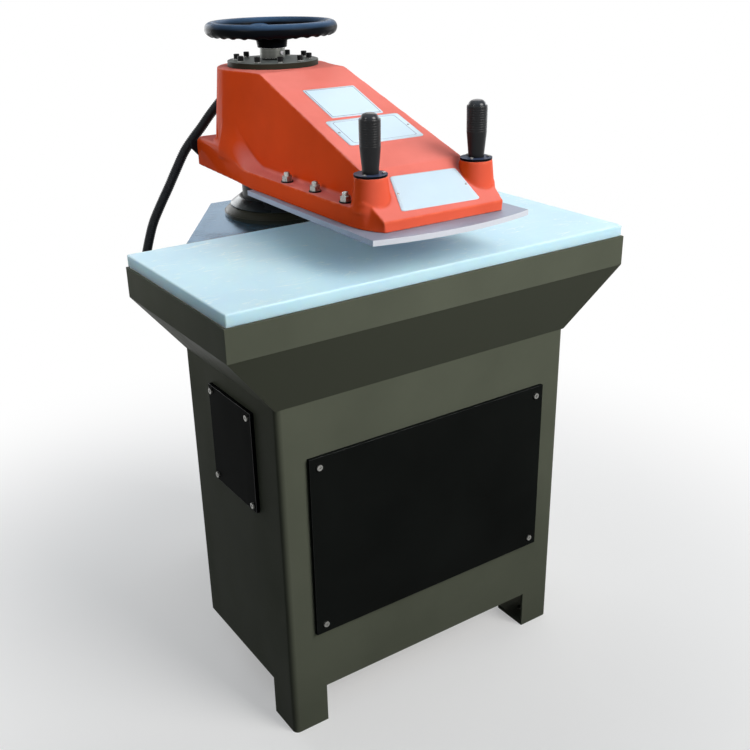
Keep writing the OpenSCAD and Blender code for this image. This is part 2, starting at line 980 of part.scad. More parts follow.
module arm_casting() {
  color([0.8, 0.28, 0.14])
    difference() {
      at_column()
        difference() {
          casting_outside();
          translate([0, 0, arm_z - eps])
            cylinder(r = col_r + run_gap, h = web_z - arm_z + eps, $fn = 128);
          translate([0, 0, arm_z])
            cylinder(r = spigot_r, h = arm_h + eps);
          translate([-keyway_w / 2 - run_gap, 0, arm_z - eps])
            cube([keyway_w + 2 * run_gap, col_r + 7, web_z - arm_z]);
          intersection() {
            along_y(nose_y + 2 * cast_t, cast_hollow_y)
              polygon([
                [-(wedge_x - cast_t), arm_z - eps],
                [wedge_x - cast_t, arm_z - eps],
                [top_w / 2 - cast_t, top_z],
                [-(top_w / 2 - cast_t), top_z]
              ]);
            along_x(-skirt_x, skirt_x)
              side_view(cast_t * 1.1);
          }
          for (i = [0 : flange_screws_n - 1])
            rotate([0, 0, i * 360 / flange_screws_n + flange_turn])
              translate([flange_circle_r, 0, top_z - 20])
                cylinder(r = flange_bolt_r, h = 20 + eps, $fn = 32);
          for (p = stud_places)
            translate([p[0], p[1], arm_z - eps])
              cylinder(r = stud_r, h = skirt_h + 2 * eps, $fn = 32);
          for (p = stud_places)
            translate([p[0], p[1], ledge_z])
              cylinder(r = 2 * stud_r + 0.6, h = 3 * stud_r, $fn = 48);
        }
      for (p = disc_places)
        translate([p[0], p[1], lug_z - 12])
          cylinder(r = disc_screw_r, h = 12 + eps, $fn = 24);
    }
}

module platen() {
  color([0.6, 0.58, 0.62])
    at_column()
      difference() {
        translate([0, 0, arm_z - platen_t])
          linear_extrude(height = platen_t)
            intersection() {
              polygon([
                [-platen_w / 2, -arm_reach],
                [platen_w / 2, -arm_reach],
                [platen_w / 2 - 8, platen_rear_y],
                [-(platen_w / 2 - 8), platen_rear_y]
              ]);
              circle(r = arm_reach, $fn = 256);
            }
        for (p = stud_places)
          translate([p[0], p[1], arm_z - platen_t + 2])
            cylinder(r = stud_r, h = platen_t, $fn = 32);
      }
}

washer_h = 2.5;
nut_h = 10;

module platen_studs() {
  color([0.75, 0.75, 0.75])
    at_column()
      for (p = stud_places)
        translate([p[0], p[1], arm_z - platen_t + 2])
          cylinder(r = stud_r, h = platen_t - 2 + skirt_h + washer_h + nut_h + 7.5, $fn = 32);
}

module platen_nuts() {
  color([0.75, 0.75, 0.75])
    at_column()
      for (p = stud_places)
        translate([p[0], p[1], ledge_z + washer_h])
          difference() {
            cylinder(r = stud_r * 1.8, h = nut_h, $fn = 6);
            translate([0, 0, -eps])
              cylinder(r = stud_r, h = nut_h + 2 * eps, $fn = 32);
          }
}

module platen_washers() {
  color([0.8, 0.8, 0.8])
    at_column()
      for (p = stud_places)
        translate([p[0], p[1], 0])
          tube(2 * stud_r, stud_r, ledge_z, washer_h);
}

// Top of the arm

flange_spigot = 14;
shoulder_t = 6;
bearing_t = 4;

module top_flange() {
  color([0.24, 0.26, 0.24])
    at_column()
      difference() {
        union() {
          tube(flange_r, screw_r + run_gap, top_z, flange_t);
          tube(spigot_r, screw_r + run_gap, top_z - flange_spigot, flange_spigot + eps);
        }
        for (i = [0 : flange_screws_n - 1])
          rotate([0, 0, i * 360 / flange_screws_n + flange_turn])
            translate([flange_circle_r, 0, top_z - eps])
              cylinder(r = flange_bolt_r, h = flange_t + 2 * eps, $fn = 32);
      }
}

module flange_washers() {
  color([0.75, 0.75, 0.75])
    at_column()
      for (i = [0 : flange_screws_n - 1])
        rotate([0, 0, i * 360 / flange_screws_n + flange_turn])
          translate([flange_circle_r, 0, 0])
            tube(7, flange_bolt_r, flange_z, 2);
}

module flange_screws() {
  color([0.04, 0.04, 0.04])
    at_column()
      for (i = [0 : flange_screws_n - 1])
        rotate([0, 0, i * 360 / flange_screws_n + flange_turn])
          translate([flange_circle_r, 0, flange_z + 2])
            cap_screw(flange_bolt_r, flange_t + 20, 6.2, 10);
}

module thrust_bearing() {
  color([0.7, 0.7, 0.72])
    at_column() {
      tube(screw_r + 14, screw_r + run_gap, top_z - flange_spigot - bearing_t, bearing_t);
      tube(screw_r + 4, screw_r + run_gap, flange_z, ring_t);
    }
}

module adjusting_screw() {
  z0 = col_top_z - nut_len - 15;
  shoulder_z = top_z - flange_spigot - bearing_t - shoulder_t - run_gap;
  color([0.65, 0.65, 0.67])
    at_column() {
      translate([0, 0, z0])
        cylinder(r = screw_r, h = hub_z - collar_t + run_gap - z0);
      translate([0, 0, shoulder_z])
        cylinder(r = screw_r + 13, h = shoulder_t);
      translate([0, 0, hub_z - collar_t - eps])
        cylinder(r = spindle_r, h = rim_mid_z - 14 - hub_z + collar_t + eps);
    }
}

module wheel_collar() {
  color([0.6, 0.6, 0.58])
    at_column()
      difference() {
        tube(collar_r, spindle_r, hub_z - collar_t + run_gap, collar_t - run_gap);
        translate([0, 0, hub_z - collar_t / 2])
          rotate([90, 0, 20])
            translate([0, 0, collar_r - 2])
              cylinder(r = 3.5, h = 8, $fn = 6);
      }
}

// The handwheel's rim: a ring whose underside swells and sinks for the fingers
rim_steps = 2 * swells;
rim_sides = 10;
function rim_point(i, j) =
  let(
    a = 360 * i / rim_steps,
    b = 360 * j / rim_sides,
    under = max(0, -sin(b)),
    r = rim_half * (1 + (i % 2 == 0 ? 0.16 : -0.06) * under)
  )
  [(rim_r + rim_half * cos(b)) * cos(a), (rim_r + rim_half * cos(b)) * sin(a), r * sin(b)];

module rim_ring() {
  polyhedron(
    points = [for (i = [0 : rim_steps - 1], j = [0 : rim_sides - 1]) rim_point(i, j)],
    faces = [
      for (i = [0 : rim_steps - 1], j = [0 : rim_sides - 1])
        let(p = (i + 1) % rim_steps, q = (j + 1) % rim_sides)
          each [
            [i * rim_sides + j, i * rim_sides + q, p * rim_sides + q],
            [i * rim_sides + j, p * rim_sides + q, p * rim_sides + j]
          ]
    ]
  );
}

module handwheel() {
  color([0.05, 0.06, 0.09])
    at_column() {
      translate([0, 0, rim_mid_z])
        rim_ring();
      difference() {
        union() {
          tube(hub_r, spindle_r, hub_z, rim_mid_z - 8 - hub_z);
          difference() {
            rotate_extrude($fn = 96)
              polygon([
                [hub_r - 4, rim_mid_z - 26],
                [hub_r + 14, rim_mid_z - 24],
                [rim_r - rim_half * 0.6, rim_mid_z - 8],
                [rim_r - rim_half * 0.6, rim_mid_z + 2],
                [hub_r + 10, rim_mid_z - 13],
                [hub_r - 4, rim_mid_z - 13]
              ]);
            for (a = [0 : 120 : 240])
              rotate([0, 0, a + gap_turn])
                translate([0, 0, rim_mid_z - 40])
                  linear_extrude(height = 60)
                    intersection() {
                      difference() {
                        circle(r = rim_r - rim_half * 0.75);
                        circle(r = hub_r + 16);
                      }
                      polygon([
                        [12, -12],
                        [wheel_r, -wheel_r * 0.98],
                        [wheel_r, wheel_r * 0.98],
                        [12, 12]
                      ]);
                    }
          }
        }
        translate([0, 0, rim_mid_z - 14])
          cylinder(r = spindle_r, h = 20);
      }
    }
}

// Handles

module handle_discs() {
  color([0.05, 0.05, 0.05])
    difference() {
      for (s = [-1, 1])
        translate([s * handle_x, handle_y, lug_z])
          cylinder(r = lug_r, h = disc_t);
      for (p = disc_places)
        translate([p[0], p[1], lug_z - eps])
          cylinder(r = disc_screw_r, h = disc_t + 2 * eps, $fn = 24);
    }
}

module handle_screws() {
  color([0.5, 0.5, 0.5])
    for (p = disc_places)
      translate([p[0], p[1], lug_z + disc_t])
        pan_screw(disc_screw_r, disc_t + 12, 1.8 * disc_screw_r, 1.1 * disc_screw_r);
}

grip_ribs = 10;
rib_pitch = grip_len * 0.46 / grip_ribs;
rib_z0 = grip_len * 0.5;

module grips() {
  color([0.04, 0.04, 0.045])
    for (s = [-1, 1])
      translate([s * handle_x, handle_y, grip_z])
        difference() {
          rotate_extrude()
            polygon(concat(
              [
                [switch_r, 0],
                [grip_r - 4.2, 0],
                [grip_r - 4.2, grip_len * 0.1],
                [grip_r - 0.7, rib_z0]
              ],
              [
                for (i = [0 : grip_ribs - 1])
                  each [
                    [grip_r, rib_z0 + (i + 0.15) * rib_pitch],
                    [grip_r, rib_z0 + (i + 0.6) * rib_pitch],
                    [grip_r - 0.7, rib_z0 + (i + 0.75) * rib_pitch],
                    [grip_r - 0.7, rib_z0 + (i + 1) * rib_pitch]
                  ]
              ],
              [
                [grip_r, grip_len * 0.97],
                [grip_r - 0.4, grip_len],
                [button_r + run_gap, grip_len],
                [button_r + run_gap, grip_len - button_seat],
                [switch_r, grip_len - button_seat]
              ]
            ));
        }
}

module switches() {
  color([0.2, 0.2, 0.2])
    for (s = [-1, 1])
      translate([s * handle_x, handle_y, grip_top - button_seat - 40])
        cylinder(r = switch_r, h = 40);
}

dome_h = 9;
module button(s) {
  seat = button_seat - button_travel - 1;
  dome_r = (button_r * button_r + dome_h * dome_h) / (2 * dome_h);
  translate([s * handle_x, handle_y, grip_top]) {
    translate([0, 0, -seat])
      cylinder(r = button_r, h = seat + 1.5);
    intersection() {
      translate([0, 0, 1.5 + dome_h - dome_r])
        sphere(r = dome_r);
      translate([0, 0, 1])
        cylinder(r = button_r, h = dome_h + eps);
    }
  }
}

module left_button() {
  color([0.06, 0.08, 0.12])
    button(-1);
}

module right_button() {
  color([0.06, 0.08, 0.12])
    button(1);
}

// Drive inside the cabinet

pipe_r = 6;
tank_x = cab_x - 104;
tank_y0 = cab_y0 + 40;
tank_y1 = table_y1 - 130;
tank_h = 210;
tank_t = 4;
lid_t = 8;
lid_z = tray_z + tank_h;
motor_r = 70;
motor_y = (tank_y0 + tank_y1) / 2;
motor_z = lid_z + lid_t + motor_r + 22;
shaft_r = 12;
valve_x = tank_x - 50;
pump_gap = 40;
pump_len = 74;
pump_x0 = valve_x - pump_gap - pump_len;
bell_len = 56;
motor_len = 200;
motor_x1 = pump_x0 - bell_len;
motor_x0 = motor_x1 - motor_len;
port_heights = [barrel_z + 16, barrel_z + barrel_len - 12];
valve_z = lid_z + lid_t;

module oil_tank() {
  color([0.3, 0.31, 0.28])
    difference() {
      block([-tank_x, tank_y0, tray_z], [tank_x, tank_y1, lid_z]);
      block(
        [-tank_x + tank_t, tank_y0 + tank_t, tray_z + tank_t],
        [tank_x - tank_t, tank_y1 - tank_t, lid_z + eps]
      );
    }
}

module tank_lid() {
  color([0.3, 0.31, 0.28])
    difference() {
      block([-tank_x, tank_y0, lid_z], [tank_x, tank_y1, lid_z + lid_t]);
      for (x = [pump_x0 + pump_len * 0.5, valve_x + 20])
        translate([x, motor_y, lid_z - eps])
          cylinder(r = pipe_r, h = lid_t + 2 * eps, $fn = 24);
    }
}

// Things about the motor's axis, drawn along X from x
module on_shaft(x) {
  translate([x, motor_y, motor_z])
    rotate([0, 90, 0])
      children();
}

cowl_len = 50;

// The cowl over the fan, with a ring of air holes
module fan_cowl() {
  difference() {
    on_shaft(motor_x0 - cowl_len)
      cylinder(r = motor_r, h = cowl_len);
    on_shaft(motor_x0 - cowl_len + 3)
      cylinder(r = motor_r - 3, h = cowl_len);
    for (a = [0 : 30 : 330])
      on_shaft(motor_x0 - cowl_len - eps)
        rotate([0, 0, a])
          translate([motor_r * 0.55, 0, 0])
            cylinder(r = 6, h = 6, $fn = 24);
  }
}

module motor_frame() {
  color([0.25, 0.3, 0.38]) {
    fan_cowl();
    difference() {
      union() {
        on_shaft(motor_x0)
          cylinder(r = motor_r, h = motor_x1 - motor_x0);
        for (x = [motor_x0 + 30, motor_x1 - 60])
          block([x, motor_y - 60, lid_z + lid_t], [x + 30, motor_y + 60, motor_z - motor_r * 0.6]);
      }
      on_shaft(motor_x0 + 12)
        cylinder(r = motor_r - 12, h = motor_x1 - motor_x0 - 24);
      on_shaft(motor_x0 - eps)
        cylinder(r = shaft_r + run_gap, h = motor_x1 - motor_x0 + 2 * eps);
    }
  }
}

module motor_rotor() {
  color([0.5, 0.5, 0.5]) {
    on_shaft(motor_x0 - cowl_len + 12)
      cylinder(r = shaft_r, h = pump_x0 + 20 - motor_x0 + cowl_len - 12);
    on_shaft(motor_x0 + 34)
      cylinder(r = motor_r - 20, h = motor_x1 - motor_x0 - 68);
    on_shaft(motor_x0 - cowl_len + 16)
      cylinder(r = 30, h = 20);
    for (a = [0 : 60 : 300])
      on_shaft(motor_x0 - cowl_len + 16)
        rotate([0, 0, a])
          translate([0, -2, 0])
            cube([motor_r - 14, 4, 20]);
    on_shaft(motor_x1 + 8)
      cylinder(r = 26, h = bell_len - 16);
  }
}

module bell_housing() {
  color([0.35, 0.36, 0.37])
    difference() {
      on_shaft(motor_x1)
        cylinder(r = 56, h = bell_len);
      on_shaft(motor_x1 - eps)
        cylinder(r = 36, h = bell_len + 2 * eps);
    }
}

module pump() {
  color([0.35, 0.36, 0.37])
    difference() {
      block([pump_x0, motor_y - 48, motor_z - 55], [pump_x0 + pump_len, motor_y + 48, motor_z + 55]);
      on_shaft(pump_x0 - eps)
        cylinder(r = shaft_r + run_gap, h = 24);
      translate([pump_x0 + pump_len * 0.5, motor_y, motor_z - 56])
        cylinder(r = pipe_r, h = 12, $fn = 24);
      translate([pump_x0 + pump_len * 0.5, motor_y, motor_z + 44])
        cylinder(r = pipe_r, h = 12, $fn = 24);
    }
}

valve_h = 70;
valve_a = [valve_x, motor_y - 45, valve_z];
valve_b = [valve_x + 44, motor_y + 75, valve_z + valve_h];
valve_top = [valve_x + 22, motor_y - 25, valve_b[2]];
module valve_block() {
  color([0.4, 0.4, 0.42])
    difference() {
      block(valve_a, valve_b);
      translate([valve_x + 20, motor_y, valve_z - eps])
        cylinder(r = pipe_r, h = 12, $fn = 24);
      translate(valve_top - [0, 0, 12])
        cylinder(r = pipe_r, h = 14, $fn = 24);
      for (k = [0, 1])
        translate([valve_x + 14 + 18 * k, valve_b[1] + eps, valve_z + 18 + 34 * k])
          rotate([90, 0, 0])
            cylinder(r = pipe_r, h = 13, $fn = 24);
    }
}

module solenoids() {
  color([0.08, 0.08, 0.08])
    for (y = [motor_y + 8, motor_y + 50])
      translate([valve_x + 22, y, valve_b[2]])
        cylinder(r = 18, h = 64);
}

// Pressure, return and suction pipes, and one pipe to each end of the press cylinder
cyl_face = col_y - piston_r - barrel_t;
function port_run(k) =
  let(x = valve_x + 14 + 18 * k, z = valve_z + 18 + 34 * k, y = table_y1 - 60 - 30 * k)
  [
    [x, valve_b[1] - 10, z],
    [x, y, z],
    [x, y, port_heights[k]],
    [0, y, port_heights[k]],
    [0, cyl_face + barrel_t * 0.7, port_heights[k]]
  ];
module oil_pipes() {
  px = pump_x0 + pump_len * 0.5;
  color([0.5, 0.5, 0.5]) {
    pipe_run([[px, motor_y, tray_z + 30], [px, motor_y, motor_z - 46]], pipe_r);
    pipe_run([[valve_x + 20, motor_y, tray_z + 60], [valve_x + 20, motor_y, valve_z + 10]], pipe_r);
    pipe_run([
      [px, motor_y, motor_z + 45],
      [px, motor_y, motor_z + 95],
      [px, motor_y - 25, motor_z + 95],
      [valve_top[0], motor_y - 25, motor_z + 95],
      valve_top - [0, 0, 11]
    ], pipe_r);
    for (k = [0, 1])
      pipe_run(port_run(k), pipe_r);
  }
}

plate_x = cab_x - sheet;
plate_t = 4;
plate_side = 240;
plate_y0 = cab_y0 + 50;
plate_z0 = lid_z + plate_side / 2;
module control_plate() {
  color([0.6, 0.6, 0.58])
    block([plate_x - plate_t, plate_y0, plate_z0], [plate_x, plate_y0 + plate_side, plate_z0 + plate_side]);
}

module switchgear() {
  color([0.15, 0.15, 0.15]) {
    for (i = [0 : 2])
      block(
        [plate_x - plate_t - 62, plate_y0 + 16 + 54 * i, plate_z0 + 140],
        [plate_x - plate_t, plate_y0 + 60 + 54 * i, plate_z0 + 220]
      );
    block(
      [plate_x - plate_t - 70, plate_y0 + 24, plate_z0 + 16],
      [plate_x - plate_t, plate_y0 + 110, plate_z0 + 100]
    );
    block(
      [plate_x - plate_t - 40, plate_y0 + 130, plate_z0 + 30],
      [plate_x - plate_t, plate_y0 + 224, plate_z0 + 60]
    );
  }
}

// Hose from the arm's back to the casing's wall

port_len = 34;
hose_gap = 0.2;
hose_p0 = port_c + [0, col_y, 0] + (port_len + hose_gap) * port_dir;
hose_p9 = wall_c + (gland_len + 2) * slant_n;
back_y = col_y + hose_y;
// The last bend, a quarter turn from hanging straight down to square with the wall
bend_c = hose_p9 + 2.2 * hose_r * slant_n + [0, 0, hose_bend_r];
function bend_at(t) = bend_c + hose_bend_r * (sin(t) * slant_n - cos(t) * [0, 0, 1]);
hose_route = [
  hose_p0,
  hose_p0 + 60 * port_dir,
  [-110, back_y, top_z - 139],
  [-134, back_y, top_z - 163],
  [-158, back_y, top_z - 190],
  [-182, back_y, top_z - 228],
  [-205, back_y, top_z - 266],
  [-229, back_y, top_z - 304],
  [-250, back_y, top_z - 341],
  [-265, back_y, top_z - 380],
  [-275, back_y, top_z - 412],
  bend_at(90),
  bend_at(60),
  bend_at(30),
  bend_at(0),
  hose_p9
];

// A point of a smooth curve through the route, u from 0 to 1, and the curve's direction there
function route_at(k) = hose_route[min(max(k, 0), len(hose_route) - 1)];
function hose_at(u) =
  let(
    s = u * (len(hose_route) - 1),
    k = min(floor(s), len(hose_route) - 2),
    t = s - k,
    a = route_at(k - 1),
    b = route_at(k),
    c = route_at(k + 1),
    d = route_at(k + 2)
  )
  b + 0.5 * t * ((c - a) + t * ((2 * a - 5 * b + 4 * c - d) + t * (3 * (b - c) + d - a)));
function unit(v) = v / norm(v);
function hose_dir(u) =
  u < 0.01 ? port_dir : u > 0.99 ? -slant_n : unit(hose_at(u + 0.004) - hose_at(u - 0.004));
hose_sides = 8;
function hose_ring(u, r) =
  let(d = hose_dir(u), e = unit(cross(d, [0.3, 1, 0.1])), f = cross(d, e))
  [
    for (j = [0 : hose_sides - 1])
      hose_at(u) + r * (cos(360 * j / hose_sides) * e + sin(360 * j / hose_sides) * f)
  ];

module hose() {
  rings = 2 * ribs + 1;
  bores = 41;
  points = concat(
    [for (i = [0 : rings - 1]) each hose_ring(i / (rings - 1), hose_r - (i % 2 == 0 ? rib_depth : 0))],
    [for (i = [0 : bores - 1]) each hose_ring(i / (bores - 1), hose_bore_r)]
  );
  n = hose_sides;
  m = rings * n;
  last = (bores - 1) * n + m;
  faces = concat(
    [
      for (i = [0 : rings - 2], j = [0 : n - 1])
        let(q = (j + 1) % n)
          each [
            [i * n + j, (i + 1) * n + q, i * n + q],
            [i * n + j, (i + 1) * n + j, (i + 1) * n + q]
          ]
    ],
    [
      for (i = [0 : bores - 2], j = [0 : n - 1])
        let(q = (j + 1) % n)
          each [
            [m + i * n + j, m + i * n + q, m + (i + 1) * n + q],
            [m + i * n + j, m + (i + 1) * n + q, m + (i + 1) * n + j]
          ]
    ],
    [
      for (j = [0 : n - 1])
        let(q = (j + 1) % n)
          each [
            [j, q, m + q],
            [j, m + q, m + j],
            [(rings - 1) * n + j, last + q, (rings - 1) * n + q],
            [(rings - 1) * n + j, last + j, last + q]
          ]
    ]
  );
  color([0.05, 0.05, 0.05])
    polyhedron(points = points, faces = faces);
}

// The fitting on the boss's back, with its outlet turned down along the hose
module hose_port() {
  r = hose_r + 2;
  color([0.1, 0.1, 0.1])
    at_column()
      difference() {
        union() {
          block(port_c - [r, hose_y - boss_r + 10, r], port_c + [r, r, r]);
          translate(port_c)
            aim(port_dir)
              cylinder(r = r, h = port_len);
        }
        rotate_extrude($fn = 128)
          boss_section();
        translate(port_c)
          aim(port_dir)
            cylinder(r = hose_bore_r, h = port_len + 2 * eps);
      }
}

// The gland through the casing's wall, with a nut on each side
module hose_gland() {
  color([0.1, 0.1, 0.1])
    translate(wall_c)
      aim(slant_n)
        difference() {
          union() {
            translate([0, 0, -sheet - 12])
              cylinder(r = hose_r + 3, h = sheet + 14 + gland_len);
            cylinder(r = 2 * hose_r, h = 9, $fn = 6);
            translate([0, 0, -sheet - 7])
              cylinder(r = 2 * hose_r, h = 7, $fn = 6);
          }
          translate([0, 0, -sheet - 13])
            cylinder(r = hose_bore_r, h = sheet + 16 + gland_len);
        }
}

cabinet();
rear_casing();
foot_plates();
floor_tray();
bed_plate();
cutting_board();
front_cover();
front_cover_screws();
side_cover();
side_cover_screws();
column_guide();
upper_bush();
lower_bush();
dust_collar();
wiper_ring();
cylinder_head();
cylinder_barrel();
cylinder_base();
head_screws();
oil_tank();
tank_lid();
motor_frame();
motor_rotor();
bell_housing();
pump();
valve_block();
solenoids();
oil_pipes();
control_plate();
switchgear();
piston();
piston_rod();
thrust_washers();
column();
column_foot();
foot_screws();
column_plug();
screw_nut();
feather_key();
arm_casting();
platen();
platen_studs();
platen_nuts();
platen_washers();
top_flange();
flange_screws();
flange_washers();
thrust_bearing();
handle_discs();
handle_screws();
grips();
switches();
left_button();
right_button();
adjusting_screw();
wheel_collar();
handwheel();
hose_port();
hose_gland();
hose();
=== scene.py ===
# %% [markdown]
# # A swing-arm cutting press
# The press stands on the floor: a folded steel cabinet, a white cutting board, a round column, and
# a heavy cast arm that swings over the board. The engineering model gives every piece its size and
# its place. This file adds what the eye looks for: round edges, paint, plastic, steel and light.

# %% The frame
import json
import math

import bmesh
import bpy
import numpy as np
from mathutils import Matrix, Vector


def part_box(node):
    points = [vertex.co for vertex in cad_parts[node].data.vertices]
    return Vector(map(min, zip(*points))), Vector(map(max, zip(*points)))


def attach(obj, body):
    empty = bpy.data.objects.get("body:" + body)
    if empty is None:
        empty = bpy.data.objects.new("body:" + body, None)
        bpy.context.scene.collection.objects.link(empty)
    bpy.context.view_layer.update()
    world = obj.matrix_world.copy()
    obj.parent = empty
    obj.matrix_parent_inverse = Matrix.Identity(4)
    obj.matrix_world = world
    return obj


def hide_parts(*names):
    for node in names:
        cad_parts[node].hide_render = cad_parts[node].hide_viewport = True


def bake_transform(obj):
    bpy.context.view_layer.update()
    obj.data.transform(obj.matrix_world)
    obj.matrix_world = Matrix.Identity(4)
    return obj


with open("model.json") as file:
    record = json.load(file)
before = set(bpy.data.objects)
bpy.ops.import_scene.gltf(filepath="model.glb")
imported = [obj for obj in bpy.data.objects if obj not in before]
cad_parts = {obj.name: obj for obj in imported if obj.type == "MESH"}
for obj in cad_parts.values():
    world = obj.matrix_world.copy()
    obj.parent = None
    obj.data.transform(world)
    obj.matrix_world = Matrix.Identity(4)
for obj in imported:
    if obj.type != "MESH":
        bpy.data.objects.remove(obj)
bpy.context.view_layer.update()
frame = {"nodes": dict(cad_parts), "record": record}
nodes = frame["nodes"]
body_of_node = {n: b for b, group in frame["record"]["behaviour"]["bodies"].items() for n in group}
slot_of_node = {s["node"]: s["material_slot"] for s in frame["record"]["subparts"]}
MM = 0.001

# %% [markdown]
# ## The camera
# A camera is a place and three axes. The turn, dip and roll angles give the direction ahead, and two
# cross products give the other axes. A matrix made of those axes says more than three Euler angles.

# %% Camera
CAMERA_AT = (-1.0623, -1.7208, 1.4716)
TURN, DIP, ROLL = np.radians([33.685, 23.469, 1.088])
FOCAL_PX, IMAGE_PX, SENSOR_MM = 988.39, 750, 36.0

ahead = np.array([math.sin(TURN) * math.cos(DIP), math.cos(TURN) * math.cos(DIP), -math.sin(DIP)])
level_right = np.array([math.cos(TURN), -math.sin(TURN), 0.0])
level_down = np.cross(ahead, level_right)
image_right = math.cos(ROLL) * level_right + math.sin(ROLL) * level_down
image_down = math.cos(ROLL) * level_down - math.sin(ROLL) * level_right


def new_object(name, data):
    """A new object in the scene."""
    made = bpy.data.objects.new(name, data)
    bpy.context.scene.collection.objects.link(made)
    return made


def stand(thing, right, up, back, at):
    """Turns a thing to three axes and puts it in its place."""
    axes = np.eye(4)
    axes[:3] = np.stack([right, up, back, at], 1)
    thing.matrix_world = Matrix(axes.tolist())


lens = bpy.data.cameras.new("studio_camera")
lens.sensor_width = SENSOR_MM
lens.lens = FOCAL_PX / IMAGE_PX * SENSOR_MM
camera = new_object("studio_camera", lens)
stand(camera, image_right, -image_down, -ahead, CAMERA_AT)
bpy.context.scene.camera = camera
print("camera: lens", round(lens.lens, 2), "mm")

# %% [markdown]
# ## Surfaces from arrays
# Almost every new piece here is a grid of points: rows along one direction, columns along the other.
# Numpy works out all the points at once, and the same small function joins neighbours into faces.
# A lathe is a profile turned about an axis, a tube is a ring carried along a path, and a loft is a
# cross section that changes from row to row. All three end in the same grid.


# %% Grid helpers
def grid_part(points, wrap_rows=False, wrap_cols=False):
    """Corners and quads of a grid of points (rows, cols, 3); a wrap closes that direction on itself."""
    rows, cols = points.shape[:2]
    i, j = np.meshgrid(
        np.arange(rows if wrap_rows else rows - 1),
        np.arange(cols if wrap_cols else cols - 1),
        indexing="ij",
    )
    below, beside = (i + 1) % rows, (j + 1) % cols
    quads = np.stack([i * cols + j, i * cols + beside, below * cols + beside, below * cols + j], -1)
    return points.reshape(-1, 3), quads.reshape(-1, 4)


def circle(points):
    """Angles at equal steps round a full turn."""
    return np.linspace(0, 2 * np.pi, points, endpoint=False)


def polar(r, a, z):
    """Points about an upright axis: x = r cos a, y = r sin a."""
    return np.stack(np.broadcast_arrays(r * np.cos(a), r * np.sin(a), z), -1)


def lathe_part(profile, centre, turns=96, ring=False):
    """Turns a profile of (radius, height) about an upright axis: x = r cos a, y = r sin a, z = h."""
    r, h = np.asarray(profile, float).T[..., None]
    points = polar(r, circle(turns), h) + np.asarray(centre, float)
    return grid_part(points, wrap_rows=ring, wrap_cols=True)


def loft_part(sections):
    """Joins closed cross sections (rows, points of a ring, 3) and closes both ends with a middle point."""
    first = np.repeat(sections[:1].mean(1, keepdims=True), sections.shape[1], 1)
    last = np.repeat(sections[-1:].mean(1, keepdims=True), sections.shape[1], 1)
    return grid_part(np.concatenate([first, sections, last]), wrap_cols=True)


def shape(name, parts):
    """One object from several parts. Double corners are merged and the faces turned outwards."""
    offsets = np.cumsum([0] + [len(p) for p, _ in parts])
    corners = np.concatenate([p for p, _ in parts])
    quads = np.concatenate([q + o for (_, q), o in zip(parts, offsets)])
    mesh = bpy.data.meshes.new(name)
    mesh.from_pydata(corners.tolist(), [], quads.tolist())
    work = bmesh.new()
    work.from_mesh(mesh)
    bmesh.ops.remove_doubles(work, verts=work.verts, dist=2e-6)
    bmesh.ops.dissolve_degenerate(work, dist=1e-6, edges=work.edges)
    bmesh.ops.recalc_face_normals(work, faces=work.faces)
    work.to_mesh(mesh)
    work.free()
    mesh.polygons.foreach_set("use_smooth", np.ones(len(mesh.polygons), bool))
    return new_object(name, mesh)


def sharpen(piece, degrees):
    """Marks edges that bend by more than this angle as sharp, so that flat faces look flat."""
    work = bmesh.new()
    work.from_mesh(piece.data)
    limit = math.radians(degrees)
    for edge in work.edges:
        edge.smooth = not (len(edge.link_faces) == 2 and edge.calc_face_angle(0) > limit)
    work.to_mesh(piece.data)
    work.free()


def fit(piece, body, slot, *replaced):
    """Says what the piece rides on and which solids it stands for; the slot is not used."""
    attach(piece, body)
    if replaced:
        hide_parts(*replaced)
    print(piece.name, "on", body, "with", len(piece.data.polygons), "faces")


# %% [markdown]
# ## The hose
# A ribbed black hose leaves a fitting behind the arm, sags down the back and enters the casing
# through a gland. It is one smooth curve through a handful of points, with a ring of points
# carried along it. The ring's radius goes up and down with the distance, which makes the ribs.
# The arm lifts, swings and rises, so the hose is three stretches, each listed with the bodies at its ends.
# The swing moves it furthest, so the middle stretch is the longest.

# %% Hose route
HOSE_ROUTE = MM * np.array([
    (-189.03, 334.27, 710.0), (-209.16, 347.70, 710.0), (-246.59, 372.69, 722.06),
    (-273.99, 390.98, 755.0), (-284.01, 397.67, 800.0), (-275.0, 399.5, 828.0),
    (-265.0, 399.5, 860.0), (-250.0, 399.5, 899.0), (-229.0, 399.5, 936.0),
    (-205.0, 399.5, 974.0), (-182.0, 399.5, 1012.0), (-158.0, 399.5, 1050.0),
    (-134.0, 399.5, 1077.0), (-110.0, 399.5, 1101.0), (-86.01, 399.5, 1126.82),
    (-42.69, 399.5, 1168.34),
])
HOSE_R, RIB_DEPTH, RIB_PITCH = 11 * MM, 1.1 * MM, 4.6 * MM
RING_STEP, RING_POINTS = RIB_PITCH / 8, 24


def smooth_path(route, per_span=60):
    """Catmull-Rom curve: between two points, a cubic that leaves each along the line of its neighbours."""
    ends = np.concatenate([route[:1], route, route[-1:]])
    a, b, c, d = (ends[k:len(ends) - 3 + k, None] for k in range(4))
    t = np.linspace(0, 1, per_span, endpoint=False)[None, :, None]
    spans = b + 0.5 * t * ((c - a) + t * ((2 * a - 5 * b + 4 * c - d) + t * (3 * (b - c) + d - a)))
    return np.concatenate([spans.reshape(-1, 3), route[-1:]])


def even_steps(path, step):
    """The same path with points at equal distances, and the distance at each."""
    run = np.concatenate([[0], np.cumsum(np.linalg.norm(np.diff(path, axis=0), axis=1))])
    at = np.linspace(0, run[-1], int(round(run[-1] / step)) + 1)
    return np.stack([np.interp(at, run, path[:, k]) for k in range(3)], 1), at


def unit(v):
    """Each row at length 1."""
    return v / np.linalg.norm(v, axis=-1, keepdims=True)


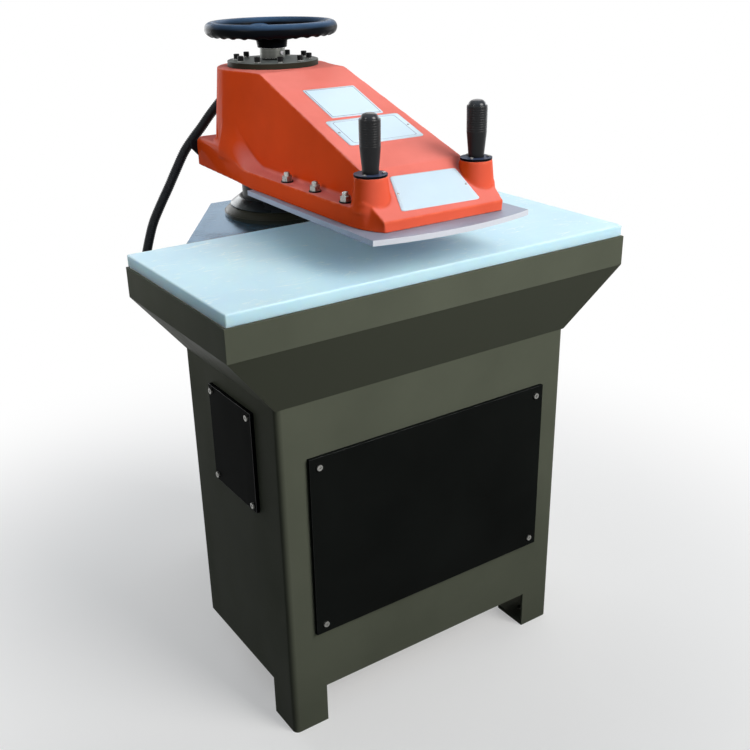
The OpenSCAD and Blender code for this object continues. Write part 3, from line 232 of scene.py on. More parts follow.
def tube_rings(path, radius, points):
    """Rings square to a path: centre + r (cos a e + sin a f), with e and f square to the direction."""
    along = unit(np.gradient(path, axis=0))
    e = unit(np.cross(along, np.array([0.3, 1.0, 0.1])))
    f = np.cross(along, e)
    a = circle(points)[None, :, None]
    outwards = np.cos(a) * e[:, None] + np.sin(a) * f[:, None]
    return path[:, None] + np.reshape(radius, (-1, 1, 1)) * outwards


hose_path, hose_run = even_steps(smooth_path(HOSE_ROUTE), RING_STEP)
rib_wave = 0.5 - 0.5 * np.cos(2 * np.pi * hose_run / RIB_PITCH)
hose_rings = tube_rings(hose_path, HOSE_R - RIB_DEPTH * (1 - rib_wave ** 0.6), RING_POINTS)
print("hose: length", round(hose_run[-1], 4), "m,", len(hose_path), "rings")

# %% Hose stretches
LOWER_STRETCH, UPPER_STRETCH = 134 * MM, 168 * MM
bend_top = int(np.searchsorted(hose_run, LOWER_STRETCH))
tail_place = int(np.searchsorted(hose_run, hose_run[-1] - UPPER_STRETCH))
hose_pieces = []
for name, first, last, lower_body, upper_body in (
    ("hose_lower", 0, bend_top, "base", "ram"),
    ("hose_middle", bend_top, tail_place, "ram", "column"),
    ("hose_upper", tail_place, len(hose_path) - 1, "column", "arm"),
):
    piece = shape(name, [loft_part(hose_rings[first:last + 1])])
    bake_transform(piece)
    hose_pieces.append(piece)
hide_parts("hose")

# %% [markdown]
# A flat strap behind the arm's tail keeps the hose off the casting. Its section is a squared circle:
# the cosine and the sine are raised to a small power, which fills the corners.

# %% Hose strap
STRAP_BACK, STRAP_THICK, STRAP_TOP = 388 * MM, 0.8 * MM, 1074 * MM
STRAP_LEFT, STRAP_RIGHT, STRAP_FULL_X = -146, -104, -124 * MM
STRAP_HALF_END, STRAP_HALF_FULL = 8 * MM, 20 * MM


def squared(wave, power=0.35):
    """A cosine or sine with its shoulders filled out."""
    return np.sign(wave) * np.abs(wave) ** power


strap_x = np.linspace(STRAP_LEFT, STRAP_RIGHT, 16) * MM
strap_half = np.interp(strap_x, [STRAP_LEFT * MM, STRAP_FULL_X], [STRAP_HALF_END, STRAP_HALF_FULL])
strap_line = np.stack([strap_x, 0 * strap_x + STRAP_BACK, STRAP_TOP - strap_half], 1)
b = circle(24)[None, :, None]
strap_rings = strap_line[:, None] + (
    strap_half[:, None, None] * squared(np.cos(b)) * np.array([0, 0, 1.0])
    + STRAP_THICK / 2 * squared(np.sin(b)) * np.array([0, 1.0, 0])
)
strap = shape("hose_strap", [loft_part(strap_rings)])
fit(strap, "arm", "black_rubber")
hose_pieces.append(strap)

# %% [markdown]
# ## Finishes
# A painted sheet is never one flat colour. Each finish starts from one shader, and noise on the
# object's own coordinates moves its colour, its roughness and a very low bump. Values that are the
# same all over the surface are written on the shader, and only what varies is linked. A socket knows
# the tree of nodes that it belongs to, so each helper adds its node beside the value it is given.

# %% Shader helpers
finish = {}


def srgb(*rgb):
    """A colour as a screen shows it, 0 to 255, turned into the linear light that a shader wants."""
    v = np.array(rgb) / 255
    return tuple(np.where(v <= 0.04045, v / 12.92, ((v + 0.055) / 1.055) ** 2.4)) + (1.0,)


def add(beside, kind, inputs=None, **settings):
    """Adds a shader node. An input is a number or colour, or another node's output, which is linked."""
    tree = beside.id_data
    made = tree.nodes.new("ShaderNode" + kind)
    for key, value in settings.items():
        setattr(made, key, value)
    for key, value in (inputs or {}).items():
        if isinstance(value, bpy.types.NodeSocket):
            tree.links.new(value, made.inputs[key])
        else:
            made.inputs[key].default_value = value
    return made


def start(name, rough, metal=0.0, shine=0.5, **inputs):
    """A new finish: its shader with the constant values set, and the object's coordinates."""
    finish[name] = bpy.data.materials.new(name)
    finish[name].use_nodes = True
    shader = finish[name].node_tree.nodes["Principled BSDF"]
    constants = {"Roughness": rough, "Metallic": metal, "Specular IOR Level": shine, **inputs}
    for key, value in constants.items():
        shader.inputs[key].default_value = value
    return shader, add(shader, "TexCoord").outputs["Object"]


def noise(where, scale, detail=4.0, stretch=None, distortion=0.0, rough=0.5):
    """A noise value from 0 to 1. Stretch scales the coordinates first, which draws the grain out."""
    if stretch is not None:
        where = add(where, "Mapping", {"Vector": where, "Scale": stretch}).outputs[0]
    return add(where, "TexNoise", {
        "Vector": where, "Scale": scale, "Detail": detail, "Roughness": rough, "Distortion": distortion,
    }).outputs[0]


def remap(value, low, high, to_low=0.0, to_high=1.0):
    """Stretches the part of a value between low and high over a new range."""
    return add(value, "MapRange", {
        "Value": value, "From Min": low, "From Max": high, "To Min": to_low, "To Max": to_high,
    }).outputs[0]


def spread(value, low=0.0, high=1.0):
    """Stretches the middle of a noise, where most of its values lie, over a range."""
    return remap(value, 0.3, 0.7, low, high)


def combine(operation, a, b=0.0):
    """Arithmetic on two values, such as MULTIPLY or MAXIMUM."""
    return add(a, "Math", {0: a, 1: b}, operation=operation).outputs[0]


def facing(beside, axis):
    """How far a face looks along an axis, from -1 to 1."""
    return add(beside, "SeparateXYZ", {0: add(beside, "NewGeometry").outputs["Normal"]}).outputs[axis]


def mix(amount, dull, bright):
    """A mix of two colours, or of a colour and another mix."""
    return add(amount, "Mix", {0: amount, 6: dull, 7: bright}, data_type="RGBA").outputs[2]


def shade_of(rgb, factor):
    """The same colour, lighter or darker."""
    return tuple(min(1.0, c * factor) for c in rgb[:3]) + (1.0,)


def uneven(value, rgb, dark, light):
    """A colour that a noise moves from a darker to a lighter shade of itself."""
    return mix(spread(value), shade_of(rgb, dark), shade_of(rgb, light))


def wire(shader, colour, rough, heights):
    """Links a colour, a roughness and a stack of bumps (height, depth in metres) to the shader."""
    links = shader.id_data.links
    links.new(colour, shader.inputs["Base Color"])
    links.new(rough, shader.inputs["Roughness"])
    below = {}
    for height, depth in heights:
        bump = add(height, "Bump", {"Height": height, "Strength": 1.0, "Distance": depth, **below})
        below = {"Normal": bump.outputs[0]}
    links.new(below["Normal"], shader.inputs["Normal"])


# %% [markdown]
# ### Paint
# The cabinet has a satin olive paint and the covers a black powder coat. Both share one recipe:
# cloudy colour and an orange-peel skin. On the cabinet, dust settles on faces that look up, and faces
# that look down get a painted shade, darker as if less light reached them. Worn edges are a second
# material, for the bevelled strips of a piece.


# %% Painted finishes
def painted(name, rgb, rough, peel=0.00002, cloud=0.10, dust=0.0, chips=0.0, under=1.0, **inputs):
    """Cloudy paint with an orange-peel skin; chips shows the metal, under paints shade on faces that look
    down.
    """
    shader, where = start(name, rough, **inputs)
    colour = uneven(noise(where, 5.0, 5.0), rgb, 1 - cloud, 1 + cloud)
    smears = noise(where, 11.0, 6.0, stretch=(1.0, 1.0, 0.35), distortion=0.6)
    if dust:
        up = facing(where, "Z")
        # painted shade: faces that look down are darkened to under times the paint's colour
        colour = mix(remap(up, -0.35, -0.1, 1.0, 0.0), colour, shade_of(rgb, under))
        settled = combine("MULTIPLY", remap(up, 0.5, 1.0, 0.0, dust), smears)
        colour = mix(settled, colour, DUST)
    if chips:
        spots = remap(noise(where, 160.0, 6.0, rough=0.7), 0.62, 0.68, 0.0, chips)
        colour = mix(spots, colour, BARE_METAL)
    gloss = remap(smears, 0.25, 0.75, rough - 0.06, rough + 0.08)
    wire(shader, colour, gloss, [(noise(where, 620.0, 2.0), peel)])


OLIVE, ORANGE, COVER_BLACK = srgb(87, 91, 79), srgb(214, 72, 24), srgb(20, 22, 21)
DUST, BARE_METAL = srgb(176, 170, 158), srgb(128, 126, 120)
# under=0.57 paints shade on the cabinet's downward faces; dust settles on its upward faces
painted("olive_paint", OLIVE, 0.45, dust=0.12, under=0.57, shine=0.015)
painted("olive_edge", shade_of(OLIVE, 1.25), 0.4, chips=0.5, shine=0.1)
painted("black_paint", COVER_BLACK, 0.45, peel=0.00003, cloud=0.2, shine=0.006)
painted("black_edge", srgb(30, 31, 36), 0.34, chips=0.25)
painted("motor_paint", srgb(60, 78, 102), 0.3)
print("paints:", sorted(finish))

# %% [markdown]
# ### Cast and painted orange
# The arm is a casting. Under its gloss paint the iron is a little wavy, so the highlights swim. A
# thin clear coat on the shader gives the shine, and an attribute that holds how sharply the skin
# bends lets the paint thin out on edges and puts a painted shade into the corners. Faces that look
# up get a pale painted sheen in place of reflected sky, and the faces at the front a thinner one.


# %% Orange paint
def casting_paint(name, rgb):
    """Gloss paint on rough iron: waves, pores, thin on edges, painted shade in corners, painted sheen on top
    and front.
    """
    shader, where = start(name, 0.3, shine=0.0, **{"Coat Weight": 0.06, "Coat Roughness": 0.1})
    bend = add(where, "Attribute", attribute_name="bend").outputs["Fac"]
    clouds = noise(where, 9.0, 5.0)
    colour = uneven(clouds, rgb, 0.92, 1.06)
    ragged = remap(noise(where, 70.0, 5.0), 0.4, 0.7, 0.0, 0.35)
    on_edge = combine("MULTIPLY", remap(bend, 0.15, 0.6), ragged)
    colour = mix(on_edge, colour, THIN_PAINT)
    # painted shade: corners where the skin bends inwards get a darker orange
    painted_corner_shade = remap(bend, -0.6, -0.1, 0.45, 0.0)
    colour = mix(painted_corner_shade, colour, shade_of(rgb, 0.45))
    # painted sheen: faces that look up, and more thinly those that look forward, are paled as if they
    # mirrored light
    sheen_on_top = remap(facing(where, "Z"), 0.45, 0.85, 0.0, 0.31)
    sheen_in_front = remap(facing(where, "Y"), -0.3, -0.9, 0.0, 0.1)
    painted_sheen = combine("MULTIPLY", combine("MAXIMUM", sheen_on_top, sheen_in_front), spread(clouds, 0.8, 1.0))
    colour = mix(painted_sheen, colour, PAINTED_SHEEN)
    waves, pores = noise(where, 24.0, 2.0), noise(where, 420.0, 3.0)
    gloss = spread(noise(where, 16.0, 6.0), 0.24, 0.38)
    wire(shader, colour, gloss, [(waves, 0.0007), (pores, 0.00003)])


# the pale pink colour here is a painted sheen standing in for reflected light
THIN_PAINT, PAINTED_SHEEN = srgb(244, 132, 88), srgb(228, 184, 188)
casting_paint("orange_paint", ORANGE)
print("orange paint made")

# %% [markdown]
# ### Steel
# Ground and turned steel shows fine lines all in one direction. Stretching the noise along one axis
# draws those lines. For turned pieces the noise is read on the radius and the height about the
# axis, so that the lines run round. Oil and handling leave soft, darker clouds. The pressing plate's
# front faces carry a painted highlight: a lighter colour, as where the light falls on them. The bed
# is nearly a mirror, so that it shows the dark arm above it.


# %% Metal finishes
def stained(colour, clouds, rgb, most):
    """A colour with soft stains of half its brightness where the clouds are thick."""
    return mix(remap(clouds, 0.5, 0.75, 0.0, most), colour, shade_of(rgb, 0.5))


def ground(name, rgb, rough, stretch, metal=1.0, stain=0.25, depth=0.000012, front=None, **inputs):
    """Metal with a straight grain, drawn out along one axis; front is a painted highlight colour for faces
    that look forward.
    """
    shader, where = start(name, rough, metal, **inputs)
    grain = noise(where, 60.0, 5.0, stretch=stretch)
    clouds = noise(where, 7.0, 5.0, distortion=0.8)
    colour = stained(uneven(grain, rgb, 0.86, 1.08), clouds, rgb, stain)
    if front:
        # painted highlight: faces that look forward get the lighter front colour
        colour = mix(remap(facing(where, "Y"), -0.5, -0.9), colour, front)
    both = combine("MULTIPLY", grain, clouds)
    wire(shader, colour, remap(both, 0.1, 0.45, rough - 0.1, rough + 0.12), [(grain, depth)])


def turned(name, rgb, rough, metal=1.0, lines=900.0, stain=0.25, depth=0.00001, **inputs):
    """Metal turned on a lathe: noise on (radius, height) about the column, so its lines run round."""
    shader, where = start(name, rough, metal, **inputs)
    local = add(where, "VectorMath", {0: where, 1: (*AXIS, 0.0)}, operation="SUBTRACT").outputs[0]
    x, y, z = add(where, "SeparateXYZ", {0: local}).outputs
    flat = add(where, "CombineXYZ", {0: x, 1: y, 2: 0.0}).outputs[0]
    radius = add(where, "VectorMath", {0: flat}, operation="LENGTH").outputs["Value"]
    grain = noise(add(where, "CombineXYZ", {0: radius, 1: z, 2: 0.0}).outputs[0], lines, 3.0)
    clouds = noise(where, 14.0, 5.0, distortion=0.5)
    colour = stained(uneven(grain, rgb, 0.82, 1.12), clouds, rgb, stain)
    wire(shader, colour, spread(clouds, rough - 0.08, rough + 0.1), [(grain, depth)])


column_lo, column_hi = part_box("column")
AXIS = ((column_lo.x + column_hi.x) / 2, (column_lo.y + column_hi.y) / 2)
AXIS_AT, LONG_GRAIN = np.array([*AXIS, 0.0]), (0.4, 14.0, 14.0)
ground("machined_steel", srgb(186, 188, 198), 0.38, LONG_GRAIN)
# front: a painted highlight on the pressing plate's forward faces
ground("platen_steel", srgb(138, 149, 168), 0.5, LONG_GRAIN, metal=0.2, front=srgb(205, 210, 220))
ground("bed_steel", srgb(110, 150, 182), 0.22, (0.3, 9.0, 9.0), metal=0.8, stain=0.5)
ground("steel_edge", srgb(205, 203, 206), 0.3, (6.0, 6.0, 6.0), stain=0.1)
ground("bright_fastener", srgb(158, 158, 155), 0.3, (3.0, 3.0, 3.0), stain=0.35)
ground("dull_fastener", srgb(150, 150, 146), 0.38, (3.0, 3.0, 3.0), stain=0.5)
ground("black_fastener", srgb(16, 17, 18), 0.44, (4.0, 4.0, 4.0), metal=0.0, stain=0.3, shine=0.1)
ground("pump_aluminium", srgb(170, 172, 174), 0.5, (5.0, 5.0, 5.0), depth=0.00006)
turned("dark_steel", srgb(34, 36, 35), 0.36, metal=0.0, stain=0.4, shine=0.06)
turned("collar_steel", srgb(104, 106, 102), 0.42, lines=420.0, stain=0.5)
turned("bronze", srgb(186, 150, 86), 0.34)
turned("grey_iron", srgb(38, 39, 31), 0.36, metal=0.0, lines=300.0, shine=0.08)
turned("collar_cone_steel", srgb(30, 38, 41), 0.24, metal=0.3, lines=400.0, shine=0.25)
print("metals:", len(finish), "finishes so far")

# %% [markdown]
# ### Plastic, rubber and the board
# The grips and buttons are moulded plastic with a fine spark texture, the wheel is polished, the
# hose is dull rubber. The board is a thick slab of white plastic. The dies that are pressed into it
# leave faint cuts, so thin broken lines from stretched noise run over it.


# %% Plastic finishes
def moulded(name, rgb, rough, grain=900.0, depth=0.00002, cloud=0.15, **inputs):
    """Moulded plastic: an even spark texture and slightly uneven gloss."""
    shader, where = start(name, rough, **inputs)
    clouds, spark = noise(where, 30.0, 4.0), noise(where, grain, 2.0)
    colour = mix(clouds, shade_of(rgb, 1 - cloud), shade_of(rgb, 1 + cloud))
    wire(shader, colour, spread(clouds, rough - 0.05, rough + 0.07), [(spark, depth)])


def polished(name, rgb, sheen_colour, rough):
    """Smooth and dark: faces that look up get a pale painted sheen in place of reflected sky, faces below
    stay dark.
    """
    shader, where = start(name, rough, shine=0.02)
    patches = noise(where, 12.0, 5.0)
    # painted sheen: faces that look up are mixed towards the sheen colour
    painted_sheen = combine("MULTIPLY", remap(facing(where, "Z"), 0.2, 0.9), spread(patches, 0.45, 1.1))
    gloss = spread(patches, rough - 0.06, rough + 0.1)
    wire(shader, mix(painted_sheen, rgb, sheen_colour), gloss, [(patches, 0.00008)])


def board_plastic(name, rgb):
    """White slab with faint die cuts: where stretched noise passes its middle value, a thin line shows."""
    shader, where = start(name, 0.42, shine=0.15, **{
        "Subsurface Weight": 0.8, "Subsurface Scale": 0.018, "Subsurface Radius": (1.0, 0.95, 0.85),
    })
    colour = uneven(noise(where, 6.0, 6.0), rgb, 0.95, 1.03)
    lines = []
    for scale, stretch in ((7.0, (0.8, 4.5, 1.0)), (11.0, (0.7, 3.2, 1.0))):
        level = noise(where, scale, 2.0, stretch=stretch, distortion=1.2)
        off = combine("ABSOLUTE", combine("SUBTRACT", level, 0.5))
        lines.append(remap(off, 0.0, CUT_WIDTH, 1.0, 0.0))
    broken = remap(noise(where, 26.0, 4.0), 0.5, 0.62)
    cuts = combine("MULTIPLY", combine("MAXIMUM", *lines), broken)
    cuts = combine("MULTIPLY", cuts, remap(facing(where, "Z"), 0.9, 0.99))
    colour = mix(remap(cuts, 0.0, 1.0, 0.0, 0.8), colour, CUT_WHITE)
    scuffs = noise(where, 40.0, 5.0, stretch=(1.0, 8.0, 1.0))
    gloss = spread(scuffs, 0.34, 0.52)
    wire(shader, colour, gloss, [(cuts, -0.00018), (scuffs, 0.00004)])


CUT_WIDTH, CUT_WHITE = 0.014, srgb(234, 249, 255)
board_plastic("board_plastic", srgb(199, 234, 255))
# the second colour of these three is a painted sheen on faces that look up, in place of reflected light
polished("wheel_plastic", srgb(11, 14, 18), srgb(62, 88, 118), 0.24)
polished("disc_plastic", srgb(14, 15, 18), srgb(56, 66, 90), 0.3)
polished("flange_steel", srgb(44, 44, 37), srgb(108, 114, 112), 0.4)
moulded("black_plastic", srgb(20, 21, 23), 0.34, shine=0.2)
moulded("button_plastic", srgb(22, 27, 34), 0.2, 500.0, 0.00001, shine=0.3)
moulded("black_rubber", srgb(17, 21, 25), 0.5, 1200.0, 0.00004, shine=0.16)
moulded("plate_white", srgb(192, 212, 225), 0.35, 1400.0, 0.00001, cloud=0.03, shine=0.08)
moulded("plate_line", srgb(96, 104, 126), 0.35, 1400.0, 0.00001, cloud=0.05, shine=0.08)
for node, obj in nodes.items():
    obj.data.materials.clear()
    obj.data.materials.append(finish[slot_of_node[node]])
for piece in hose_pieces:
    piece.data.materials.append(finish["black_rubber"])
nodes["thrust_bearing"].data.materials[0] = finish["dark_steel"]
print("finishes:", len(finish))

# %% [markdown]
# ## Broken edges
# A folded sheet, a sawn slab or a ground plate has no mathematically sharp edge: each edge has a
# small radius, and that radius catches the light. A bevel modifier on a merged copy of the solid
# makes it. The bevel's faces get a second material, the worn edge, and weighted normals keep the
# large faces flat. Some folds of the cabinet are shallow, so its edges count from a smaller angle.

# %% Softened copies
MERGE_GAP, FLAT_ANGLE, BEVEL_STEPS = 2e-5, math.radians(0.4), 2


def soften(node, width, edge_finish=None, own_finish=None, angle=30.0):
    """A copy of a solid with its doubles merged, its flat faces joined, and every edge rounded."""
    piece = new_object(node + "_rounded", nodes[node].data.copy())
    work = bmesh.new()
    work.from_mesh(piece.data)
    bmesh.ops.remove_doubles(work, verts=work.verts, dist=MERGE_GAP)
    bmesh.ops.dissolve_limit(
        work, angle_limit=FLAT_ANGLE, verts=work.verts, edges=work.edges, delimit=set()
    )
    work.to_mesh(piece.data)
    work.free()
    piece.data.polygons.foreach_set("use_smooth", np.ones(len(piece.data.polygons), bool))
    piece.data.materials.clear()
    piece.data.materials.append(finish[own_finish or slot_of_node[node]])
    bevel = piece.modifiers.new("round", "BEVEL")
    bevel.width, bevel.segments = width, BEVEL_STEPS
    bevel.limit_method, bevel.angle_limit = "ANGLE", math.radians(angle)
    if edge_finish:
        piece.data.materials.append(finish[edge_finish])
        bevel.material = 1
    normals = piece.modifiers.new("flat_faces", "WEIGHTED_NORMAL")
    normals.keep_sharp = True
    fit(piece, body_of_node[node], slot_of_node[node], node)


soften("cabinet", 1.6 * MM, "olive_edge", angle=15.0)
for node, width, *finishes in (
    ("rear_casing", 1.6, "olive_edge"), ("bed_plate", 1.2, "steel_edge", "bed_steel"),
    ("cutting_board", 3.0), ("front_cover", 1.8, "black_edge"), ("side_cover", 1.2, "black_edge"),
    ("platen", 1.0, "steel_edge", "platen_steel"), ("top_flange", 1.2, None, "flange_steel"),
    ("platen_washers", 0.4, None, "black_fastener"), ("flange_screws", 0.7), ("flange_washers", 0.4),
    ("front_cover_screws", 1.4, None, "dull_fastener"),
    ("side_cover_screws", 1.4, None, "dull_fastener"), ("handle_discs", 0.8, None, "disc_plastic"),
    ("handle_screws", 0.4), ("wheel_collar", 1.0, "steel_edge", "collar_steel"), ("hose_port", 1.2),
    ("hose_gland", 1.0),
):
    soften(node, width * MM, *finishes)

# %% [markdown]
# ## Nuts and studs
# Six studs hold the pressing plate under the arm. A nut is a ring whose radius follows a hexagon: the
# distance to a flat, divided by the cosine of the angle from the middle of that flat. A cone cuts the
# top corners, as on a real nut. A stud is a lathe whose radius goes up and down with the thread.

# %% Platen nuts and studs
CHAMFER_SHARE, CHAMFER_SLOPE = 0.96, 0.577


def hex_nut_part(centre, corner_r, tall, hole_r, turns=72):
    """Rings of a nut: r = flat / cos(angle from the flat's middle), and the top falls away with r."""
    a = circle(turns)
    flat = corner_r * math.cos(math.pi / 6)
    hexagon = flat / np.cos(a % (math.pi / 3) - math.pi / 6)
    same, top_r = np.ones(turns), CHAMFER_SHARE * flat
    r = np.stack([hole_r * same, hexagon, hexagon, top_r * same, hole_r * same])
    shoulder = tall - CHAMFER_SLOPE * (hexagon - top_r)
    z = np.stack([0 * same, 0 * same, shoulder, tall * same, tall * same])
    return grid_part(polar(r, a, z) + np.asarray(centre), True, True)


def dress(piece, finish_name, body, slot, *replaced):
    """Gives a piece its finish and says where it belongs."""
    piece.data.materials.append(finish[finish_name])
    fit(piece, body, slot, *replaced)


STUD_X, STUD_Y, STUD_R, NUT_CORNER_R = 140.0, (-253.5, -148.5, -43.5), 6.0, 10.8
THREAD_PITCH, THREAD_DEPTH, THREAD_LEN, TIP_TALL, TIP_CURVE = 1.75, 0.45, 24, 3.0, 3.2
stud_places = [(side * STUD_X * MM, y * MM) for side in (-1, 1) for y in STUD_Y]
nut_lo, nut_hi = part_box("platen_nuts")
nuts = shape("platen_hex_nuts", [
    hex_nut_part((x, y, nut_lo.z), NUT_CORNER_R * MM, nut_hi.z - nut_lo.z, STUD_R * MM)
    for x, y in stud_places
])
sharpen(nuts, 25)
dress(nuts, "bright_fastener", "arm", "bright_fastener", "platen_nuts")

stud_lo, stud_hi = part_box("platen_studs")
stud_len = (stud_hi.z - stud_lo.z) / MM
stud_h = np.linspace(0, stud_len, 320)
crest = np.abs(stud_h / THREAD_PITCH % 1 * 2 - 1)
tip = np.sqrt(np.clip(1 - np.clip((stud_h - stud_len + TIP_TALL) / TIP_CURVE, 0, 1) ** 2, 0, 1))
stud_r = (STUD_R - np.where(stud_h > stud_len - THREAD_LEN, THREAD_DEPTH * crest, 0)) * tip
stud_profile = np.concatenate([[[0, 0]], np.stack([stud_r, stud_h], 1), [[0, stud_len]]]) * MM
studs = shape("platen_threaded_studs", [
    lathe_part(stud_profile, (x, y, stud_lo.z), 32) for x, y in stud_places
])
dress(studs, "bright_fastener", "arm", "bright_fastener", "platen_studs")

# %% [markdown]
# ## The dust collar
# Where the column goes down into the table, a turned collar keeps dust and offcuts out. It has a
# low pad, a sloping base ring and a polished cone with a thin lip over a groove. All are plain lathes.

# %% Dust collar
collar_at = (*AXIS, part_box("dust_collar")[0].z)
for name, finish_name, profile in (
    ("dust_collar_pad", "grey_iron", [
        (88, 0), (127.4, 0), (128, 0.6), (128, 7.4), (127, 8.5), (88, 8.5),
    ]),
    ("dust_collar_base", "grey_iron", [
        (88, 8.5), (125.6, 8.5), (126, 9.2), (125.6, 10.2), (113.6, 20.9), (112.4, 21.6), (106, 21.6),
        (88, 21.6),
    ]),
    ("dust_collar_cone", "collar_cone_steel", [
        (88, 21.5), (106.5, 21.5), (106.5, 23), (112.4, 23), (113, 23.5), (113, 24.6), (112.3, 25.4),
        (94.2, 38.8), (93.2, 39.7), (92.4, 40), (90.5, 40), (90.5, 30), (88, 30),
    ]),
):
    piece = shape(name, [lathe_part(np.array(profile) * MM, collar_at, 144, ring=True)])
    sharpen(piece, 35)
    dress(piece, finish_name, "base", "grey_iron", *(["dust_collar"] if name.endswith("base") else []))

# %% [markdown]
# ## The arm casting
# The arm is the piece that gives the press its face. A pattern maker would build it from simple
# drafted bodies: a wedge, a skirt, a tail block, a boss that flares out like a trumpet, and two
# lugs for the handles. Then every joint is filled and every edge rubbed round. The same is done
# here: each body is a grid from a formula, a voxel remesh melts them into one skin, and smoothing
# rounds it. Sizes are millimetres, with the column's axis at zero. First come the outlines.

# %% Casting outlines
casting_lo, casting_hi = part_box("arm_casting")
FLOOR_Z, TOP_Z = casting_lo.z / MM, casting_hi.z / MM
LEDGE_Z, NOSE_Z, TAIL_Z, LUG_Z = FLOOR_Z + 35, FLOOR_Z + 19, FLOOR_Z + 64, FLOOR_Z + 87
NOSE_Y, NOSE_TOP_Y, NOSE_TOP_Z, SLOPE_Y, PLATEAU_Y = -610.0, -509.0, TOP_Z - 132, -127.0, 60.0
TAIL_FRONT_Y, TAIL_Y, TAIL_ROUND = 10.0, 141.0, 10.0
SKIRT_X, SKIRT_FRONT_Y, FRONT_ARC_R = 155.0, -532.0, 135.0
SKIRT_REAR_Y = [-190, -160, -135, -110, -85, -50, TAIL_Y]
SKIRT_REAR_X = [SKIRT_X, 154.4, 152.8, 150.0, 147.2, 144.3, 131]
LEAN = math.tan(math.radians(5.45))
WEDGE_X, WEDGE_END_Y, FOOT_FILLET, WEB_R, BOSS_R, TRUMPET_R = 101.0, -34, 10.0, 300.0, 120.0, 90.0
HANDLE_X, HANDLE_Y, LUG_R, LUG_FOOT_R, LUG_MEETS_Y = 117.5, -548.0, 30.0, 35.5, -577.5
NOSE_HALF, MEETS_HALF, RIDGE_RUN, RIDGE_RISE = 132.5, 137.2, 12, 11


def drafted_half(z, at_top, fillet):
    """Half width of a wall that leans out by the draft, with a quarter-round fillet at its foot."""
    foot = at_top + LEAN * (TOP_Z - LEDGE_Z)
    middle = foot + fillet * (math.hypot(1, LEAN) - LEAN)
    arc = middle - np.sqrt(np.clip(fillet ** 2 - (LEDGE_Z + fillet - z) ** 2, 0, None))
    wall = at_top + LEAN * (TOP_Z - z)
    round_top = LEDGE_Z + fillet * (1 - LEAN / math.hypot(1, LEAN))
    return np.where(z <= LEDGE_Z, middle, np.where(z < round_top, arc, wall))


def top_height(y):
    """Side view of the casting: nose, slope and plateau."""
    return np.interp(y, [NOSE_Y, NOSE_TOP_Y, SLOPE_Y, PLATEAU_Y], [NOSE_Z, NOSE_TOP_Z, TOP_Z, TOP_Z])


def skirt_half(y):
    """Plan of the skirt: two arcs at the nose, straight sides, and a narrowing tail."""
    arc_x = SKIRT_X - FRONT_ARC_R
    arc = arc_x + np.sqrt(np.clip(FRONT_ARC_R ** 2 - (y - SKIRT_FRONT_Y) ** 2, 0, None))
    rear = np.interp(y, SKIRT_REAR_Y, SKIRT_REAR_X)
    return np.where(y < SKIRT_FRONT_Y, arc, rear)


def ridge_half(y):
    """Plan of the skirt's upper edge: at the nose it draws in to a line and to the lug's round foot."""
    lug_side = HANDLE_X + np.sqrt(np.clip(LUG_FOOT_R ** 2 - (y - HANDLE_Y) ** 2, 0, None))
    nose = np.interp(y, [NOSE_Y, LUG_MEETS_Y], [NOSE_HALF, MEETS_HALF])
    front = np.where(y < LUG_MEETS_Y, nose, lug_side)
    behind = np.interp(y, [HANDLE_Y, SKIRT_FRONT_Y], [HANDLE_X + LUG_FOOT_R, SKIRT_X])
    return np.where(y < HANDLE_Y, front, np.where(y < SKIRT_FRONT_Y, behind, skirt_half(y)))


def flat_top_half(y):
    """Plan of the flat top: straight sides, then arcs that run into the boss's circle."""
    meets_y = -math.sqrt((BOSS_R + WEB_R) ** 2 - (WEDGE_X + WEB_R) ** 2)
    arc = WEDGE_X + WEB_R - np.sqrt(np.clip(WEB_R ** 2 - (y - meets_y) ** 2, 0, None))
    return np.where(y < meets_y, WEDGE_X, arc)


print("casting: from", round(FLOOR_Z), "to", round(TOP_Z), "mm above the floor")

# %% [markdown]
# The wedge, the skirt and the tail block are lofts: cross sections at a row of places along the arm,
# each one a right half and its mirror image.


# %% Wedge, skirt and tail
def sections(y, half, z):
    """Mirror-image cross sections: half widths (rows, k) at heights z (rows, k), closed into rings."""
    right = np.stack([half, np.repeat(y[:, None], z.shape[1], 1), z], -1)
    left = right[:, ::-1] * np.array([-1.0, 1.0, 1.0])
    return np.concatenate([right, left], 1)


wedge_y = np.concatenate([np.linspace(NOSE_Y, NOSE_TOP_Y, 12), np.linspace(SLOPE_Y, WEDGE_END_Y, 12)])
wedge_levels = np.concatenate([[FLOOR_Z], LEDGE_Z + np.linspace(0, FOOT_FILLET, 8), [TOP_Z]])
wedge_z = np.minimum(wedge_levels[None], top_height(wedge_y)[:, None])
wedge_half = drafted_half(wedge_z, flat_top_half(wedge_y)[:, None], FOOT_FILLET)
skirt_y = np.concatenate([np.linspace(NOSE_Y, SKIRT_FRONT_Y, 30), SKIRT_REAR_Y])
skirt_top = LEDGE_Z + np.interp(skirt_y, [HANDLE_Y - RIDGE_RUN, HANDLE_Y], [RIDGE_RISE, 0])
skirt_z = np.stack([np.full(len(skirt_y), FLOOR_Z), np.minimum(skirt_top, top_height(skirt_y))], 1)
skirt_z[skirt_y > 0, 1] = LEDGE_Z
turn = np.linspace(0, np.pi / 2, 7)
tail_y = np.concatenate([[TAIL_FRONT_Y], TAIL_Y - TAIL_ROUND * (1 - np.sin(turn))])
tail_top = np.concatenate([[TAIL_Z], TAIL_Z - TAIL_ROUND * (1 - np.cos(turn))])
tail_walls = tail_top[:, None] - TAIL_ROUND * (1 - np.sin(turn))
tail_z = np.concatenate([[[FLOOR_Z]] * len(tail_y), tail_walls], 1)
tail_half = skirt_half(tail_y)[:, None] - TAIL_ROUND * np.concatenate([[0], 1 - np.cos(turn)])
